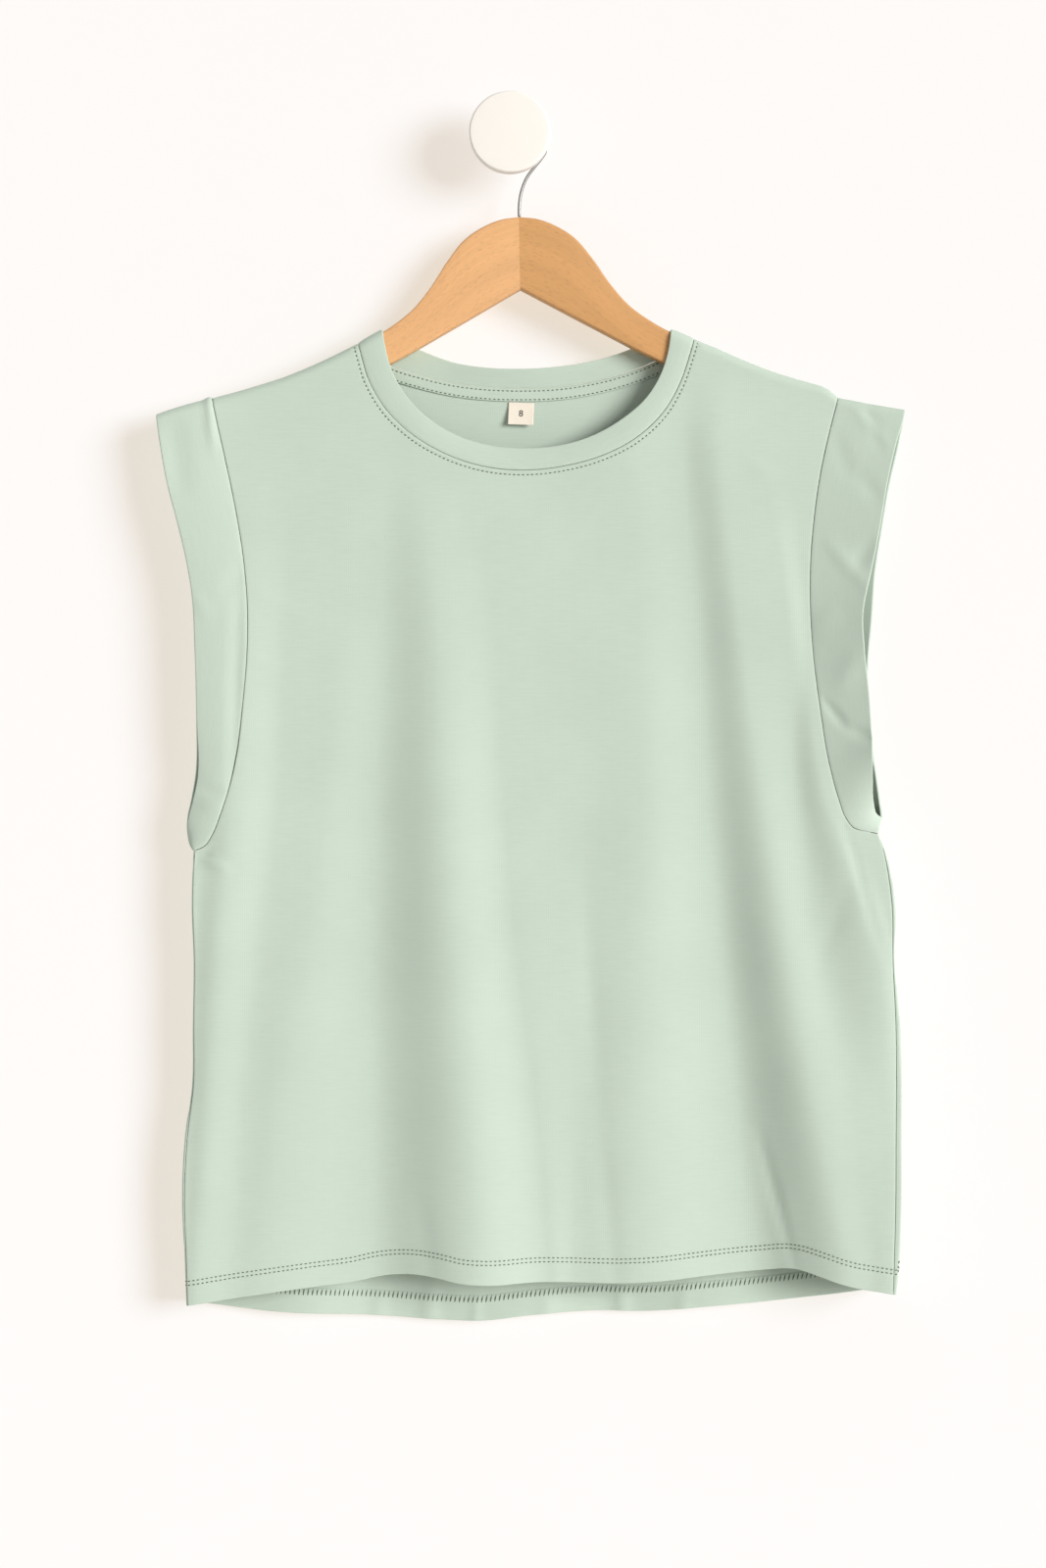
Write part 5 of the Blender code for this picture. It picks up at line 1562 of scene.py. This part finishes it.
def jersey():
    """The one jersey that all cut pieces are made of."""
    scene = bpy.context.scene
    colour, knit = scene.tank_top_colours.jersey, scene.tank_top_sizes.knit_scale
    return bpy.data.materials.get("cotton jersey") or cotton_jersey("cotton jersey", colour, knit)


def thread():
    """The one thread that all seams are sewn with."""
    colour = bpy.context.scene.tank_top_colours.thread
    return bpy.data.materials.get("sewing thread") or sewing_thread("sewing thread", colour)


class TANKTOP_OT_panels(bpy.types.Operator):
    """Front and back panels, hung over the hanger with their folds"""
    bl_idname = "tanktop.panels"
    bl_label = "Front and Back Panels"

    def execute(self, context):
        for face in ("front", "back"):
            SEWN[face], SEWN[face + " surface"] = cloth_panel(face + "_jersey", face, jersey())
            finish(bpy.data.objects[face + "_jersey"], "sage_jersey", face + "_panel")
        return {"FINISHED"}


class TANKTOP_OT_bands(bpy.types.Operator):
    """Neckband and sleeve bands, sewn to the panels' own seams"""
    bl_idname = "tanktop.bands"
    bl_label = "Neckband and Sleeve Bands"

    def execute(self, context):
        sizes = context.scene.tank_top_sizes
        obj, *SEWN["neckband size"] = neckband("neckband_jersey", jersey(), sizes.neck_puff / MM)
        finish(obj, "sage_jersey", "neckband")
        for side in ("left", "right"):
            puff = BAND_PUFF_SHARE[side] * sizes.band_puff / MM
            obj, *SEWN[side + " size"] = sleeve_band(side + "_band_jersey", side, jersey(), puff)
            finish(obj, "sage_jersey", "sleeve_band_" + side)
        return {"FINISHED"}


class TANKTOP_OT_neck_tape_and_label(bpy.types.Operator):
    """Tape over the back neck seam and the woven size label below it"""
    bl_idname = "tanktop.neck_tape_and_label"
    bl_label = "Neck Tape and Size Label"

    def execute(self, context):
        sizes, colours = context.scene.tank_top_sizes, context.scene.tank_top_colours
        finish(back_neck_tape("neck_tape", jersey()), "sage_jersey", "back_neck_tape")
        tape = woven_label("woven cotton tape", colours.label)
        finish(size_label("woven_size_label", tape), "woven_label", "size_label")
        ink = printing_ink("printing ink", colours.ink)
        number = label_number("size_number", str(sizes.label_number), sizes.number_height / MM, ink)
        finish(number, "woven_label")
        return {"FINISHED"}


class TANKTOP_OT_stitching(bpy.types.Operator):
    """Topstitching of the neck, the tape and the hems, and the zigzag inside the hems"""
    bl_idname = "tanktop.stitching"
    bl_label = "Stitching"

    def execute(self, context):
        sizes = context.scene.tank_top_sizes
        pitch, radius = sizes.stitch_pitch / MM, sizes.thread_radius / MM
        for name, lines in stitch_lines().items():
            placed = running_stitches(lines, pitch, sizes.stitch_length / MM)
            finish(stitches(name, *placed, radius, thread()), "sage_jersey")
        for name, line in zigzag_lines().items():
            placed = zigzag_stitches(*line, pitch)
            finish(stitches(name, *placed, radius * ZIGZAG_THREAD, thread()), "sage_jersey")
        return {"FINISHED"}


class TANKTOP_OT_hanger(bpy.types.Operator):
    """The hanger's two beech halves"""
    bl_idname = "tanktop.hanger"
    bl_label = "Beech Hanger"

    def execute(self, context):
        colours = context.scene.tank_top_colours
        for side, colour, sign in (("left", colours.beech_left, -1), ("right", colours.beech_right, 1)):
            wood = varnished_beech("varnished beech " + side, colour, GRAIN_OFFSET * sign)
            finish(hanger_half("beech_half_" + side, sign, wood), "beech", "hanger_half_" + side)
        return {"FINISHED"}


class TANKTOP_OT_hook_and_knob(bpy.types.Operator):
    """The hanger's wire hook and the wall knob that it hangs over"""
    bl_idname = "tanktop.hook_and_knob"
    bl_label = "Hook and Wall Knob"

    def execute(self, context):
        sizes, colours = context.scene.tank_top_sizes, context.scene.tank_top_colours
        wire = zinc_plated_wire("zinc-plated wire", colours.wire)
        finish(hanger_hook("bent_hook", sizes.wire_radius / MM, wire), "hook_wire", "hanger_hook")
        paint = painted("white paint", colours.knob, roughness=0.45, texture=90.0, depth=0.0004)[0]
        finish(wall_knob("turned_knob", paint), "white_knob", "wall_knob")
        return {"FINISHED"}


class TANKTOP_OT_stage(bpy.types.Operator):
    """Pale wall and floor, soft studio light and the camera"""
    bl_idname = "tanktop.stage"
    bl_label = "Stage, Light and Camera"

    def execute(self, context):
        colours = context.scene.tank_top_colours
        make_stage(colours.wall, colours.floor)
        make_camera()
        return {"FINISHED"}


class TANKTOP_PT_panel(bpy.types.Panel):
    """Lists the pieces and the sizes and colours that they take"""
    bl_label = "Tank Top"
    bl_idname = "TANKTOP_PT_panel"
    bl_space_type = "VIEW_3D"
    bl_region_type = "UI"
    bl_category = "Tank Top"

    def draw(self, context):
        for operator in OPERATORS:
            self.layout.operator(operator.bl_idname)
        for group in (context.scene.tank_top_sizes, context.scene.tank_top_colours):
            for name in group.bl_rna.properties.keys():
                if name not in ("rna_type", "name"):
                    self.layout.prop(group, name)


OPERATORS = (
    TANKTOP_OT_panels, TANKTOP_OT_bands, TANKTOP_OT_neck_tape_and_label, TANKTOP_OT_stitching,
    TANKTOP_OT_hanger, TANKTOP_OT_hook_and_knob, TANKTOP_OT_stage,
)
CLASSES = (TankTopSizes, TankTopColours, *OPERATORS, TANKTOP_PT_panel)


def register():
    for cls in CLASSES:
        bpy.utils.register_class(cls)
    bpy.types.Scene.tank_top_sizes = PointerProperty(type=TankTopSizes)
    bpy.types.Scene.tank_top_colours = PointerProperty(type=TankTopColours)


def unregister():
    del bpy.types.Scene.tank_top_colours
    del bpy.types.Scene.tank_top_sizes
    for cls in reversed(CLASSES):
        bpy.utils.unregister_class(cls)


def main():
    register()
    for operator in OPERATORS:
        group, name = operator.bl_idname.split(".")
        getattr(getattr(bpy.ops, group), name)()


if __name__ == "__main__":
    main()
